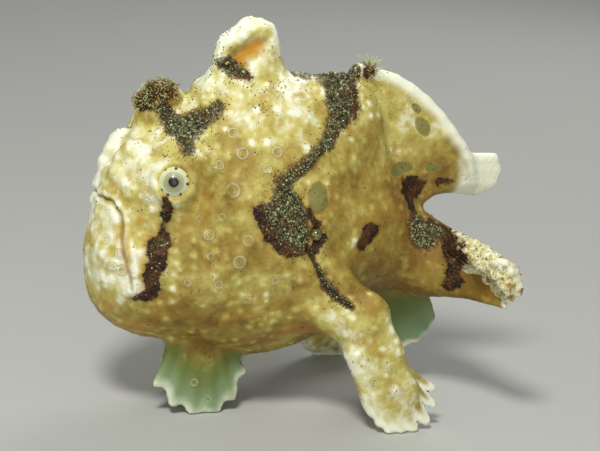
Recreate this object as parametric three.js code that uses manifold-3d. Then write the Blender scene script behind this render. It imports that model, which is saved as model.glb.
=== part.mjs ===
// A warty frogfish, standing on its arm-like fins: a life-size model in millimetres.
// +Z is up and z = 0 is the floor. The snout points to -X and the fish's left side to -Y.
//
// Head and trunk are one field of signed distance, made of ellipsoids that melt into each other.
// It is turned into faces and parted with thin plane cuts. Arms and dorsal spines are fields of
// their own, and the fins are rayed sheets. All of them are cut back from the flesh they grow on.

import * as THREE from "three";
import { mergeVertices } from "three/addons/utils/BufferGeometryUtils.js";
import Module from "manifold-3d";

const wasm = await Module();
wasm.setup();

// Driving dimensions

const fishLength = 100; // snout to the end of the last dorsal rays
const mm = fishLength / 100; // every other size is in hundredths of that length
const gap = 0.3; // clearance between neighbouring parts, in millimetres at any size
const headCell = 2.6 * mm; // edge of the faces on the head
const trunkCell = 3.5 * mm; // edge of the faces on the trunk
const limbCell = 2.1 * mm; // edge of the faces on limbs and dorsal spines
const sides = [
  ["left", -1],
  ["right", 1],
];

const skin = { cream: 0xe9dcae, ochre: 0xd8b870, white: 0xf2efdf, pale: 0xd3dab4, eye: 0x8f9c96 };

const vec = (x, y, z) => new THREE.Vector3(x * mm, y * mm, z * mm);
const direction = (x, y, z) => new THREE.Vector3(x, y, z).normalize();
const { lerp, clamp } = THREE.MathUtils;

// A smooth hump: 1 where x is zero and 0 from one width away.
function hump(x, width) {
  const t = Math.min(Math.abs(x) / width, 1);
  return (1 - t * t) ** 2;
}

// Distance fields: each is a function that gives the signed distance of a point.

function ellipsoid(centre, radii, pitch = 0) {
  const toShape = new THREE.Matrix4().makeRotationY(pitch).setPosition(centre).invert();
  const q = new THREE.Vector3();
  return (p) => {
    q.copy(p).applyMatrix4(toShape).divide(radii);
    const near = q.length();
    const slope = q.divide(radii).length();
    return slope < 1e-9 ? -Math.min(radii.x, radii.y, radii.z) : (near * (near - 1)) / slope;
  };
}

// A tapered limb from a to b. A squash under 1 thins it along the direction flat.
function limb(a, radiusA, b, radiusB, flat = direction(0, 1, 0), squash = 1) {
  const axis = b.clone().sub(a);
  const q = new THREE.Vector3();
  return (p) => {
    q.copy(p).sub(a);
    q.addScaledVector(flat, q.dot(flat) * (1 / squash - 1));
    const t = clamp(q.dot(axis) / axis.lengthSq(), 0, 1);
    const off = q.addScaledVector(axis, -t).length();
    return (off - lerp(radiusA, radiusB, t) * mm) * Math.min(1, squash + 0.15);
  };
}

function melt(width, ...shapes) {
  const reach = width * mm;
  return (p) =>
    shapes.reduce((near, shape) => {
      const d = shape(p);
      const h = Math.max(reach - Math.abs(near - d), 0) / reach;
      return Math.min(near, d) - (h * h * reach) / 4;
    }, 1e3);
}

// Closed bodies

function solidFromFaces(positions, faces) {
  const data = { numProp: 3, vertProperties: new Float32Array(positions) };
  const solid = new wasm.Manifold(new wasm.Mesh({ ...data, triVerts: new Uint32Array(faces) }));
  if (solid.volume() > 0) return solid;
  return new wasm.Manifold(new wasm.Mesh({ ...data, triVerts: new Uint32Array(faces).reverse() }));
}

function solidFromGeometry(geometry) {
  geometry.deleteAttribute("normal");
  geometry.deleteAttribute("uv");
  const merged = mergeVertices(geometry, 1e-4);
  const index = Array.from(merged.index.array);
  const faces = [];
  for (let i = 0; i < index.length; i += 3) {
    const [a, b, c] = index.slice(i, i + 3);
    if (a !== b && b !== c && c !== a) faces.push(a, b, c);
  }
  return solidFromFaces(merged.attributes.position.array, faces);
}

function largestPiece(solid) {
  const pieces = solid.decompose();
  return pieces.reduce((best, piece) => (piece.volume() > best.volume() ? piece : best));
}

// The space between two planes that cross normal at the distances near and far from point.
function slab(point, normal, near, far) {
  const wide = 4 * fishLength;
  const geometry = new THREE.BoxGeometry(wide, wide, far - near);
  const turn = new THREE.Quaternion().setFromUnitVectors(direction(0, 0, 1), normal);
  geometry.translate(0, 0, (near + far) / 2);
  geometry.applyQuaternion(turn).translate(point.x, point.y, point.z);
  return solidFromGeometry(geometry);
}

const ahead = (plane) => slab(plane.point, plane.normal, gap / 2, 4 * fishLength);
const behind = (plane) => slab(plane.point, plane.normal, -4 * fishLength, -gap / 2);
const aboveFloor = slab(vec(0, 0, 0), direction(0, 0, 1), 0, 2 * fishLength);

// Faces from a field, by surface nets: a vertex in each cell that the surface crosses, moved onto
// the surface, and a quad across each crossed edge of the grid.

const cellCorners = Array.from({ length: 8 }, (_, n) => [n & 1, (n >> 1) & 1, n >> 2]);
const cellEdges = cellCorners.flatMap((_, a) =>
  [1, 2, 4].filter((bit) => !(a & bit)).map((bit) => [a, a | bit]),
);

function slopeOf(field, point) {
  const step = 0.05 * mm;
  const parts = [0, 1, 2].map((axis) => {
    const ends = [step, -step].map((move) => {
      const q = point.clone();
      return field(q.setComponent(axis, q.getComponent(axis) + move));
    });
    return (ends[0] - ends[1]) / (2 * step);
  });
  return new THREE.Vector3(...parts);
}

function solidFromField(field, low, high, cell) {
  const size = high.clone().sub(low).divideScalar(cell).ceil().addScalar(1).toArray();
  const at = (i, j, k) => i + size[0] * (j + size[1] * k);
  const values = new Float32Array(size[0] * size[1] * size[2]);
  const eachPoint = (cut, visit) => {
    for (let k = 0; k < size[2] - cut; k++)
      for (let j = 0; j < size[1] - cut; j++)
        for (let i = 0; i < size[0] - cut; i++) visit(i, j, k);
  };
  eachPoint(0, (i, j, k) => {
    const onBorder = [i, j, k].some((n, axis) => n === 0 || n === size[axis] - 1);
    const d = field(new THREE.Vector3(i, j, k).multiplyScalar(cell).add(low));
    values[at(i, j, k)] = onBorder ? Math.max(d, cell / 2) : d;
  });

  const vertices = [];
  const vertexOf = new Map();
  eachPoint(1, (i, j, k) => {
    const d = cellCorners.map(([x, y, z]) => values[at(i + x, j + y, k + z)]);
    const crossed = cellEdges.filter(([a, b]) => d[a] < 0 !== d[b] < 0);
    if (!crossed.length) return;
    const vertex = new THREE.Vector3();
    for (const [a, b] of crossed) {
      const from = new THREE.Vector3(...cellCorners[a]);
      vertex.add(from.lerp(new THREE.Vector3(...cellCorners[b]), d[a] / (d[a] - d[b])));
    }
    vertex.divideScalar(crossed.length).add(new THREE.Vector3(i, j, k));
    vertex.multiplyScalar(cell).add(low);
    const free = [i, j, k].every((n, axis) => n > 0 && n < size[axis] - 2);
    for (let turn = 0; free && turn < 2; turn++) {
      const slope = slopeOf(field, vertex);
      const move = clamp(field(vertex), -cell / 2, cell / 2);
      vertex.addScaledVector(slope, -move / Math.max(slope.lengthSq(), 0.25));
    }
    vertexOf.set(at(i, j, k), vertices.length);
    vertices.push(vertex);
  });

  const faces = [];
  const quad = (corners, turned) => {
    const [a, b, c, d] = turned ? corners.reverse() : corners;
    const across = vertices[a].distanceToSquared(vertices[c]);
    if (across <= vertices[b].distanceToSquared(vertices[d])) faces.push(a, b, c, a, c, d);
    else faces.push(b, c, d, b, d, a);
  };
  const around = [
    [[0, 1, 1], [0, 0, 1], [0, 0, 0], [0, 1, 0]],
    [[1, 0, 1], [1, 0, 0], [0, 0, 0], [0, 0, 1]],
    [[1, 1, 0], [0, 1, 0], [0, 0, 0], [1, 0, 0]],
  ];
  eachPoint(1, (i, j, k) => {
    const here = values[at(i, j, k)] < 0;
    around.forEach((cells, axis) => {
      const next = [i, j, k];
      next[axis] += 1;
      if (values[at(...next)] < 0 === here) return;
      quad(cells.map(([x, y, z]) => vertexOf.get(at(i - x, j - y, k - z))), !here);
    });
  });
  return solidFromFaces(vertices.flatMap((vertex) => vertex.toArray()), faces);
}

// A rayed fin. root and tip give the ends of each ray, t runs from the first ray to the last and
// s from the root to the tip. bow moves the sheet's middle, half gives half its thickness, and a
// notch draws the membrane in between the tips of the rays.
function rayedFin({ rays, rows, root, tip, bow, half, ridge = 0.3, notch = 0 }) {
  const columns = 2 * rays - 1;
  const middle = (t, s, shorten) => {
    const reach = s * (1 - shorten);
    return root(t).lerp(tip(t), reach).add(bow(t, reach));
  };
  const step = 0.02;
  const front = [];
  const back = [];
  for (let i = 0; i < columns; i++)
    for (let j = 0; j <= rows; j++) {
      const t = i / (columns - 1);
      const s = j / rows;
      const isRay = i % 2 === 0;
      const shorten = isRay ? 0 : notch * s;
      const at = middle(t, s, shorten);
      const along = middle(t, s + step, shorten).sub(middle(t, s - step, shorten));
      const side = middle(t + step, s, shorten).sub(middle(t - step, s, shorten));
      const out = along.cross(side).normalize();
      const thick = (half(t, s) + (isRay ? ridge * (1 - 0.6 * s) : 0)) * mm;
      front.push(at.clone().addScaledVector(out, thick));
      back.push(at.clone().addScaledVector(out, -thick));
    }
  const count = front.length;
  const index = (i, j) => i * (rows + 1) + j;
  const faces = [];
  const edge = [];
  for (let i = 0; i < columns - 1; i++)
    for (let j = 0; j < rows; j++) {
      const [a, b, c, d] = [index(i, j), index(i + 1, j), index(i + 1, j + 1), index(i, j + 1)];
      faces.push(a, b, c, a, c, d);
      faces.push(count + a, count + c, count + b, count + a, count + d, count + c);
    }
  for (let i = 0; i < columns - 1; i++) edge.push(index(i, 0));
  for (let j = 0; j < rows; j++) edge.push(index(columns - 1, j));
  for (let i = columns - 1; i > 0; i--) edge.push(index(i, rows));
  for (let j = rows; j > 0; j--) edge.push(index(0, j));
  edge.forEach((a, n) => {
    const b = edge[(n + 1) % edge.length];
    faces.push(a, count + a, b, b, count + a, count + b);
  });
  return solidFromFaces([...front, ...back].flatMap((vertex) => vertex.toArray()), faces);
}

// A closed tube along a curve. radii gives its two half widths at t, from 0 to 1.
function tube(curve, rings, around, radii) {
  const frames = curve.computeFrenetFrames(rings, false);
  const positions = [];
  const faces = [];
  for (let n = 0; n <= rings; n++)
    for (let k = 0; k < around; k++) {
      const angle = (2 * Math.PI * k) / around;
      const [wide, high] = radii(n / rings);
      const spot = curve.getPointAt(n / rings);
      spot.addScaledVector(frames.normals[n], wide * mm * Math.cos(angle));
      spot.addScaledVector(frames.binormals[n], high * mm * Math.sin(angle));
      positions.push(...spot.toArray());
    }
  for (let n = 0; n < rings; n++)
    for (let k = 0; k < around; k++) {
      const a = n * around + k;
      const b = n * around + ((k + 1) % around);
      faces.push(a, b, b + around, a, b + around, a + around);
    }
  const last = rings * around;
  for (let k = 1; k < around - 1; k++) faces.push(0, k + 1, k, last, last + k, last + k + 1);
  return solidFromFaces(positions, faces);
}

// A path through points by hand, in hundredths of the length. t runs from 0 to 1.
function path(points) {
  const curve = new THREE.CatmullRomCurve3(points.map((point) => vec(...point)), false, "centripetal");
  return (t) => {
    const inside = clamp(t, 0, 1);
    const spot = curve.getPoint(inside);
    return spot.addScaledVector(curve.getTangent(inside), (t - inside) * curve.getLength());
  };
}

// Head and trunk

const eyeOut = (side) => direction(-0.32, 0.92 * side, 0.22); // the way the eye looks
const eyeDome = (side) => vec(-36.5, 10 * side, 54.6); // middle of the cone that carries it
const eyeDomeRadius = 7.2 * mm;
const eyeRadius = 4.1 * mm;
const eyeDepth = 2.6 * mm; // from the top of the cone down to the eye's middle

const mouth = { top: vec(-52.3, 0, 49.2), corner: vec(-41.8, 0, 24.5) };
const mouthPlane = {
  point: mouth.corner,
  normal: direction(mouth.top.z - mouth.corner.z, 0, mouth.corner.x - mouth.top.x),
};
const neckPlane = { point: vec(-13, 0, 45), normal: direction(1, 0, 0.25) };
const tailPlane = { point: vec(22, -1, 36), normal: direction(1, -0.25, -0.1) };

const knobs = [
  [-44.6, 4.6, 59.6, 3.2],
  [-47.6, 4.6, 54.6, 2.7],
  [-49.4, 2.4, 51.2, 2.2],
  [-36.8, 9, 61.4, 3.2],
  [-28.4, 3.2, 72.2, 2.3],
]; // large warts on the snout and brow: place on the right side, and radius

const masses = melt(
  6,
  ellipsoid(vec(-15, 0, 40), vec(29.5, 18.5, 28.5)), // trunk and belly
  ellipsoid(vec(-32, 0, 38), vec(17.5, 16.5, 22)), // cheeks
  ellipsoid(vec(-41.8, 0, 35), vec(11.4, 12.5, 16.5)), // lower jaw
  ellipsoid(vec(-40, 0, 51), vec(9.8, 11, 9.5)), // snout
  ellipsoid(vec(-32, 0, 58), vec(11, 10, 10.5)), // forehead
  ellipsoid(vec(-13, 0, 60), vec(22.5, 12, 16.7)), // nape and back
  ellipsoid(vec(3, 0, 61), vec(12, 7.5, 15.2)), // ridge in front of the dorsal fin
  ellipsoid(vec(9, 0, 42.5), vec(15, 11, 16)), // rump
  limb(vec(14, 0, 37), 9.5, vec(26.5, -3, 34.5), 7.8, direction(0.3, 1, 0), 0.7), // tail stalk
  limb(vec(26.5, -3, 34.5), 7.8, vec(31.5, -9.5, 34.2), 6.3, direction(0.8, 0.6, 0), 0.65),
  ...sides.map(([, side]) => ellipsoid(eyeDome(side), vec(7.2, 7.2, 7.2))),
);

const flesh = melt(
  1.8,
  masses,
  ...sides.flatMap(([, side]) =>
    knobs.map(([x, y, z, radius]) => ellipsoid(vec(x, y * side, z), vec(radius, radius, radius))),
  ),
);

const grownFlesh = (p) => flesh(p) - gap;

// The first point on the flesh from start along the direction out, and the way it faces.
function onSurface(start, out) {
  const point = start.clone();
  for (let turn = 0; turn < 60; turn++) point.addScaledVector(out, -0.8 * flesh(point));
  return { point, normal: slopeOf(flesh, point).normalize() };
}

// A ring turned about the direction out: the lid round an eye, or the rim of a nostril.
function ring({ point, normal }, profile, segments) {
  const outline = profile.map(([radius, height]) => new THREE.Vector2(radius * mm, height * mm));
  const geometry = new THREE.LatheGeometry(outline, segments);
  geometry.applyQuaternion(new THREE.Quaternion().setFromUnitVectors(direction(0, 1, 0), normal));
  return solidFromGeometry(geometry.translate(point.x, point.y, point.z));
}

function eyeSeat(side) {
  const top = eyeDome(side).addScaledVector(eyeOut(side), eyeDomeRadius);
  return { point: top.addScaledVector(eyeOut(side), -eyeDepth), normal: eyeOut(side) };
}

function eyeBall(side, radius) {
  const geometry = new THREE.IcosahedronGeometry(radius, 3);
  const { point } = eyeSeat(side);
  return solidFromGeometry(geometry.translate(point.x, point.y, point.z));
}

const lidProfile = [[3.5, -1], [3.3, 2.3], [3.8, 2.9], [4.8, 2.5], [6.2, 0.8], [6.2, -1], [3.5, -1]];
const nostrilProfile = [[0, -1], [1.7, -1], [1.1, 0.6], [0.8, 0.9], [0.5, 0.6], [0.35, 0], [0, 0]];
const nostrilAim = [
  [-0.78, 0.55, 0.1],
  [-0.66, 0.72, 0.2],
]; // from the middle of the snout to the front and the rear nostril

// A lip is a bead along the mouth, offset to one side of it: from the left corner over the front
// to the right corner.
function lip(offset) {
  const middle = mouth.corner.clone().lerp(mouth.top, 0.3);
  const up = mouth.top.clone().sub(mouth.corner).normalize();
  const points = [];
  for (let turn = -9; turn <= 9; turn++) {
    const angle = (turn / 9) * THREE.MathUtils.degToRad(118);
    const out = up.clone().applyAxisAngle(mouthPlane.normal, angle);
    const start = middle.clone().addScaledVector(mouthPlane.normal, offset);
    points.push(onSurface(start, out).point);
  }
  const curve = new THREE.CatmullRomCurve3(points);
  const swell = (t) => lerp(0.5, 1.35, Math.sin(Math.PI * t) ** 0.4);
  return tube(curve, 18, 6, (t) => [swell(t), swell(t)]);
}

function makeHead() {
  const low = vec(-60, -28, 4);
  const high = vec(-4, 28, 84);
  const inner = solidFromField((p) => flesh(p) + 2.2 * mm, low, high, 1.4 * headCell);
  const line = slab(mouth.corner, mouthPlane.normal, -0.4 * mm, 0.4 * mm)
    .intersect(slab(mouth.corner, direction(0, 0, 1), 0, 60 * mm))
    .subtract(inner);
  const whole = solidFromField(flesh, low, high, headCell);
  const jaw = whole.intersect(behind(mouthPlane));
  let head = whole.intersect(ahead(mouthPlane)).intersect(behind(neckPlane));
  for (const [, side] of sides) {
    head = head.add(ring(eyeSeat(side), lidProfile, 16));
    head = head.subtract(eyeBall(side, eyeRadius + gap));
    for (const [x, y, z] of nostrilAim) {
      const seat = onSurface(vec(-40, 0, 51), direction(x, y * side, z));
      head = head.add(ring(seat, nostrilProfile, 8));
    }
  }
  return {
    head: largestPiece(head.add(lip(1.5 * mm)).subtract(line)),
    lower_jaw: largestPiece(jaw.add(lip(-1.5 * mm)).subtract(line)),
  };
}

function makeTrunk() {
  const trunk = solidFromField(flesh, vec(-24, -26, 4), vec(30, 26, 82), trunkCell);
  const stalk = solidFromField(flesh, vec(16, -26, 18), vec(46, 20, 54), limbCell);
  const stump = { point: vec(30.6, -9.2, 34.3), normal: direction(0.62, -0.78, -0.12) };
  return {
    torso: largestPiece(trunk.intersect(ahead(neckPlane)).intersect(behind(tailPlane))),
    tail_stalk: largestPiece(stalk.intersect(ahead(tailPlane)).intersect(behind(stump))),
    stump,
  };
}

// Dorsal spines

function makeSpines() {
  const thin = direction(0, 1, 0);
  const second = melt(
    2.5,
    limb(vec(-40, 0, 57), 5, vec(-40.6, 0, 68), 3.1, thin, 0.8),
    limb(vec(-40.6, 0, 68), 3.1, vec(-38.6, 0, 71.6), 2.2, thin, 0.9),
    limb(vec(-38.6, 0, 71.6), 2.2, vec(-35.2, 0, 71.6), 1.6, thin, 0.9),
    limb(vec(-39, 0, 63), 3, vec(-31, 0, 64.5), 3, thin, 0.45), // membrane to the forehead
  );
  const third = melt(
    4,
    limb(vec(-21.5, 0, 67), 9.5, vec(-20.8, 0, 80.5), 5.2, thin, 0.62),
    limb(vec(-20.8, 0, 80.5), 5.2, vec(-18.6, 0, 83.8), 4.6, thin, 0.75),
    limb(vec(-14.5, 0, 68), 5.5, vec(-16.6, 0, 82.5), 3.2, thin, 0.7),
  );
  const cutter = solidFromField(grownFlesh, vec(-54, -14, 46), vec(-4, 14, 84), 1.5 * mm);
  const cut = (field, low, high) =>
    largestPiece(solidFromField(field, low, high, limbCell).subtract(cutter));
  return {
    second_dorsal_spine: cut(second, vec(-48, -9, 50), vec(-26, 9, 78)),
    third_dorsal_spine: cut(third, vec(-36, -11, 52), vec(-4, 11, 92)),
  };
}

// The fishing rod, folded back along the right of the second spine, with a small leaf-like lure.
function makeRod() {
  const root = onSurface(vec(-41, 2.5, 52), direction(-0.32, 0.2, 0.92));
  const route = new THREE.CatmullRomCurve3([
    root.point.clone().addScaledVector(root.normal, -1.5 * mm),
    root.point.clone().addScaledVector(root.normal, 1.5 * mm),
    vec(-42.8, 5.5, 64.8),
    vec(-40.8, 5.4, 68.6),
    vec(-37.6, 4.6, 71.6),
  ]);
  const leaflets = [0.8, 0.87, 0.94];
  const rod = tube(route, 16, 5, (t) => {
    const swell = leaflets.reduce((sum, spot) => sum + 0.9 * hump(t - spot, 0.08), 0);
    return [0.45 + swell, 0.45 + swell / 3];
  });
  const cutter = solidFromField(grownFlesh, vec(-54, -4, 48), vec(-34, 12, 70), 1.5 * mm);
  return largestPiece(rod.subtract(cutter));
}

// Fins on the trunk

function makeDorsalFin() {
  const sheet = rayedFin({
    rays: 11,
    rows: 6,
    root: path([[3, 0, 66], [10, 0, 61], [16, 0, 53.5], [20.5, 0, 45]]),
    tip: path([
      [7, 0, 78],
      [16, 0, 75.8],
      [24, -0.5, 71],
      [31, -1, 64],
      [36, -0.5, 57.5],
      [37.5, 0.6, 51.5],
    ]),
    bow: (t, s) => vec(0, 0, (3 + 7 * t * t) * s * (1 - s)),
    half: (t, s) => lerp(3, 1, s ** 0.8) + 0.35 * hump(1 - s, 0.2),
  });
  const lastRays = rayedFin({
    rays: 4,
    rows: 3,
    root: path([[29, -0.6, 57], [29.5, -0.4, 54.5], [30.5, 0, 51]]),
    tip: path([[43.6, 1.2, 57.4], [45, 1.6, 54.4], [44.4, 2, 50.8], [40.6, 2.4, 48.8]]),
    bow: (t, s) => vec(0, 1.2 * s * (1 - s), 0),
    half: (t, s) => lerp(1.6, 0.8, s),
  });
  const cutter = solidFromField(grownFlesh, vec(-8, -16, 34), vec(34, 16, 82), 2.2 * mm);
  return largestPiece(sheet.add(lastRays).subtract(cutter));
}

function makeAnalFin() {
  const fin = rayedFin({
    rays: 7,
    rows: 6,
    root: path([[8, 0, 33], [15, 0, 33], [23, -0.5, 32]]),
    tip: path([[14, 2, 15], [20, 3, 10.8], [26, 3, 10.2], [31, 2.5, 13], [33, 2, 17]]),
    bow: (t, s) => vec(2.5 * s * (1 - s), 0, 0),
    half: (t, s) => lerp(2, 0.6, s),
  });
  const cutter = solidFromField(grownFlesh, vec(0, -16, 20), vec(36, 16, 44), 2.2 * mm);
  return largestPiece(fin.subtract(cutter));
}

// The tail fin is half folded: its upper rays curl over towards the fish's left.
function makeTailFin(stump) {
  const start = stump.point.clone().addScaledVector(stump.normal, -1.5 * mm);
  const onward = (angle, length) =>
    direction(Math.cos(angle), Math.sin(angle), 0.12).multiplyScalar(length * mm);
  const root = (t) => start.clone().add(vec(0, 0, lerp(-5, 5.2, t)));
  const tip = (t) =>
    start
      .clone()
      .add(onward(-1.1, 18.5 + 3 * Math.sin(Math.PI * t)))
      .add(vec(0, 0, lerp(-7.5, 5.5, t)));
  const fin = rayedFin({
    rays: 9,
    rows: 6,
    root,
    tip,
    bow: (t, s) => {
      const curl = THREE.MathUtils.smoothstep(t, 0.5, 1) * s;
      const sweep = 3.5 * s * (1 - s);
      return vec(sweep - 3.6 * curl, -1.6 * curl, -1.5 * curl * curl);
    },
    half: (t, s) => lerp(2.8, 0.6, s ** 0.7),
  });
  return largestPiece(fin.intersect(ahead(stump)));
}

// The arms and their hand-like fins

const handFace = (side) => direction(0.22, -side, 0.1); // the way a hand is thin
const shoulder = [-7, 12, 36];
const elbow = [4.9, 20.8, 25.4];
const wrist = [9.2, 22.5, 17.7];

function mirrored(side, [x, y, z]) {
  return vec(x, y * side, z);
}

function makeArm(side) {
  const at = (point) => mirrored(side, point);
  const thin = handFace(side);
  const wristPlane = { point: at(wrist), normal: direction(0.42, 0.1 * side, -0.9) };
  const arm = melt(
    4,
    limb(at(shoulder), 6.8, at(elbow), 5.6, thin, 0.8),
    limb(at([-10, 9, 28]), 6.5, at(elbow), 5.3, thin, 0.8),
    limb(at(elbow), 5.6, at(wrist), 5.2, thin, 0.72),
    limb(at(wrist), 5.3, at([12.5, 23.5, 9]), 7, thin, 0.5),
  );
  const low = at([-20, side > 0 ? 4 : 34, 2]);
  const high = at([26, side > 0 ? 34 : 4, 50]);
  const cutter = solidFromField(grownFlesh, low, high, 2.6 * mm);
  const solid = solidFromField(arm, low, high, limbCell).subtract(cutter);
  return { solid: largestPiece(solid.intersect(behind(wristPlane))), wristPlane };
}

function makeHand(side, wristPlane) {
  const at = (points) => path(points.map(([x, y, z]) => [x, y * side, z]));
  const fin = rayedFin({
    rays: 10,
    rows: 6,
    root: at([[3.9, 22.2, 18.4], [9, 22.5, 20.2], [13.7, 21.4, 21.6]]),
    tip: at([
      [8.2, 24, 4.6],
      [10.8, 24.3, 1.4],
      [15, 24.2, -0.7],
      [20, 23.6, -0.5],
      [23.6, 22.4, 4],
      [24.2, 21.2, 9],
    ]),
    bow: (t, s) => vec(-8 * t ** 4 * s * (1 - s), 1.2 * side * Math.sin(Math.PI * t) * s, 0),
    half: (t, s) => lerp(3, 0.55, s ** 0.75),
    notch: 0.09,
  });
  return largestPiece(fin.intersect(ahead(wristPlane)).intersect(aboveFloor));
}

const rightStride = 5.5; // the right pelvic fin stands this much further back

function makePelvicFin(side) {
  const stride = side > 0 ? rightStride : 0;
  const at = (points) => path(points.map(([x, y, z]) => [x + stride, y * side, z]));
  const fin = rayedFin({
    rays: 6,
    rows: 6,
    root: at([[-34.2, 5, 20], [-27, 5.2, 17.4], [-19.4, 5, 17]]),
    tip: at([
      [-37.6, 7.5, 7],
      [-33.6, 8, 2.4],
      [-28.6, 8, -0.6],
      [-23.2, 7.8, -0.8],
      [-18.8, 7.2, 3.2],
      [-16.4, 6.6, 9],
    ]),
    bow: (t, s) => vec(0, 0.8 * side * Math.sin(Math.PI * t) * s, 0),
    half: (t, s) => lerp(2.6, 0.6, s ** 0.7),
    notch: 0.12,
  });
  const cutter = solidFromField(grownFlesh, vec(-44, -18, 4), vec(-6, 18, 26), 2.2 * mm);
  return largestPiece(fin.subtract(cutter).intersect(aboveFloor));
}

// The whole fish

const fish = new THREE.Group();

function place(name, solid, colour, roughness = 0.6) {
  const { vertProperties, triVerts } = solid.getMesh();
  const geometry = new THREE.BufferGeometry();
  geometry.setAttribute("position", new THREE.BufferAttribute(vertProperties, 3));
  geometry.setIndex(new THREE.BufferAttribute(triVerts, 1));
  const material = new THREE.MeshStandardMaterial({ color: colour, roughness, metalness: 0 });
  const mesh = new THREE.Mesh(geometry, material);
  mesh.name = name;
  fish.add(mesh);
}

const { head, lower_jaw } = makeHead();
place("head", head, skin.cream);
place("lower_jaw", lower_jaw, skin.cream);
const { torso, tail_stalk, stump } = makeTrunk();
place("torso", torso, skin.cream);
place("tail_stalk", tail_stalk, skin.ochre);
for (const [name, solid] of Object.entries(makeSpines())) place(name, solid, skin.cream);
place("fishing_rod", makeRod(), skin.pale);
place("dorsal_fin", makeDorsalFin(), skin.ochre);
place("anal_fin", makeAnalFin(), skin.pale);
place("tail_fin", makeTailFin(stump), skin.ochre);
for (const [word, side] of sides) {
  place(`eye_${word}`, eyeBall(side, eyeRadius), skin.eye, 0.15);
  const { solid, wristPlane } = makeArm(side);
  place(`arm_${word}`, solid, skin.ochre);
  place(`pectoral_fin_${word}`, makeHand(side, wristPlane), skin.white);
  place(`pelvic_fin_${word}`, makePelvicFin(side), skin.pale);
}

// The origin is the middle of the fish's outline on the floor.
const box = new THREE.Box3().setFromObject(fish);
const middle = box.getCenter(new THREE.Vector3());
fish.position.set(-middle.x, -middle.y, -box.min.z);

export default fish;
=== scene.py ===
import math
from collections import namedtuple

import bpy
import numpy as np
from bpy.props import FloatProperty, FloatVectorProperty, IntProperty, PointerProperty
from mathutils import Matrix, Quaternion, Vector, kdtree


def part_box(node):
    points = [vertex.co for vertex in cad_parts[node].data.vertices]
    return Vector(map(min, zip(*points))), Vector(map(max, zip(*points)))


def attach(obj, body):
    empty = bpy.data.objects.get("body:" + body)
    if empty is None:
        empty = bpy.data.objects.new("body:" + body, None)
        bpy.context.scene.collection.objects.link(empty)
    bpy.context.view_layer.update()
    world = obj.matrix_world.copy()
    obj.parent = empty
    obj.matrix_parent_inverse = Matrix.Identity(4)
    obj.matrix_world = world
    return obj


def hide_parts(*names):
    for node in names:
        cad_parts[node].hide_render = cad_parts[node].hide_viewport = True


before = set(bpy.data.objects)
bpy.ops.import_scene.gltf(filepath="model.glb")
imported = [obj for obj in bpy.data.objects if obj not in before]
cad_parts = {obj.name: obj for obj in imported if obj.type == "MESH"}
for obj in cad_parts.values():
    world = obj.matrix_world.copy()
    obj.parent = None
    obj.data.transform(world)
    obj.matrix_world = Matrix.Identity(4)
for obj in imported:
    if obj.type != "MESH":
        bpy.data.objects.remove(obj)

bl_info = {
    "name": "Frogfish Model",
    "version": (1, 0, 0),
    "blender": (4, 5, 0),
    "location": "3D View > Sidebar > Frogfish",
    "description": "Dresses a life-size warty frogfish: skin, eyes, rod, sand grains and algae",
    "category": "Object",
}

# Places below are in millimetres in the fish's own frame: the snout points to -X, the left side
# to -Y, and z = 0 is the floor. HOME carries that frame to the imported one.

MM = 0.001
FAR = 9.0  # a distance in millimetres beyond the reach of every form
SIDES = {"left": -1, "right": 1}

EYE_DOME = (-36.5, 10.0, 54.6)  # middle of the cone that carries the right eye
EYE_DOME_RADIUS = 7.2
EYE_DEPTH = 2.6  # from the top of the cone down to the eye's middle
EYE_RADIUS = 4.1
EYE_AIM = (-0.32, 0.92, 0.22)
EYE_BULGE = 0.25  # how far the iris stands out of the ball
LID_RADIUS, LID_AHEAD, LID_THICKNESS = 3.9, 1.7, 0.6  # the fleshy ring round each eye
PATCH = 0.003  # edge of one grain's patch on the OFBake map

KNOBS = [
    (-44.6, 4.6, 59.6, 3.2),
    (-47.6, 4.6, 54.6, 2.7),
    (-49.4, 2.4, 51.2, 2.2),
    (-36.8, 9, 61.4, 3.2),
    (-28.4, 3.2, 72.2, 2.3),
]  # x, y, z and radius of the large knobs, on both sides
LUMPS = [
    (-47.3, 3.9, 57.9, 2.0),
    (-49.1, 1.3, 53.8, 1.9),
    (-48.6, 4.6, 55.6, 1.5),
    (-45.9, 6.3, 57.1, 1.4),
    (-45.4, 8.6, 52.4, 2.7),
    (-49.3, 5.2, 51.4, 1.4),
    (-42.6, 9.8, 58.8, 1.7),
    (-39.6, 10.6, 61.3, 1.4),
    (-35.8, 12, 61, 1.9),
    (-32.5, 13.2, 59.8, 1.6),
    (-42.8, 12.6, 51, 1.4),
    (-29.8, 5.6, 70.4, 1.5),
    (-27, 2, 73.4, 1.4),
    (-12.4, 4.6, 74.2, 1.6),
    (-9.6, 6, 72.4, 1.8),
]  # the same for smaller lumps on the snout, the brows and the nape
JAW_BONE = [
    (-47.2, 46.4, 0.7),
    (-46.4, 43, 1.1),
    (-45.6, 39.4, 1.3),
    (-45, 35.4, 1.2),
    (-44.5, 31.4, 1.0),
]  # x, z and radius along the upper jaw's bone, which ends beside the mouth's corner
TAIL_ROLL = [
    (29.6, -11.4, 40, 1.1),
    (31.3, -16.4, 39.7, 1.8),
    (33.2, -20.8, 38.9, 2.2),
    (35.4, -24, 37.8, 2.5),
    (37.9, -25.2, 35.4, 2.5),
    (38.7, -25.4, 32.6, 1.7),
]  # x, y, z and radius along the tail fin's rolled upper edge
TAIL_RIM = [
    (30, -9.6, 41, 0.9),
    (31.4, -15, 41.2, 1.3),
    (33, -20.4, 40.8, 1.4),
    (35, -24.8, 39.8, 1.6),
    (37.4, -26.2, 37.6, 1.6),
    (39, -26.4, 34.6, 1.3),
]  # the same along the very edge
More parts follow.
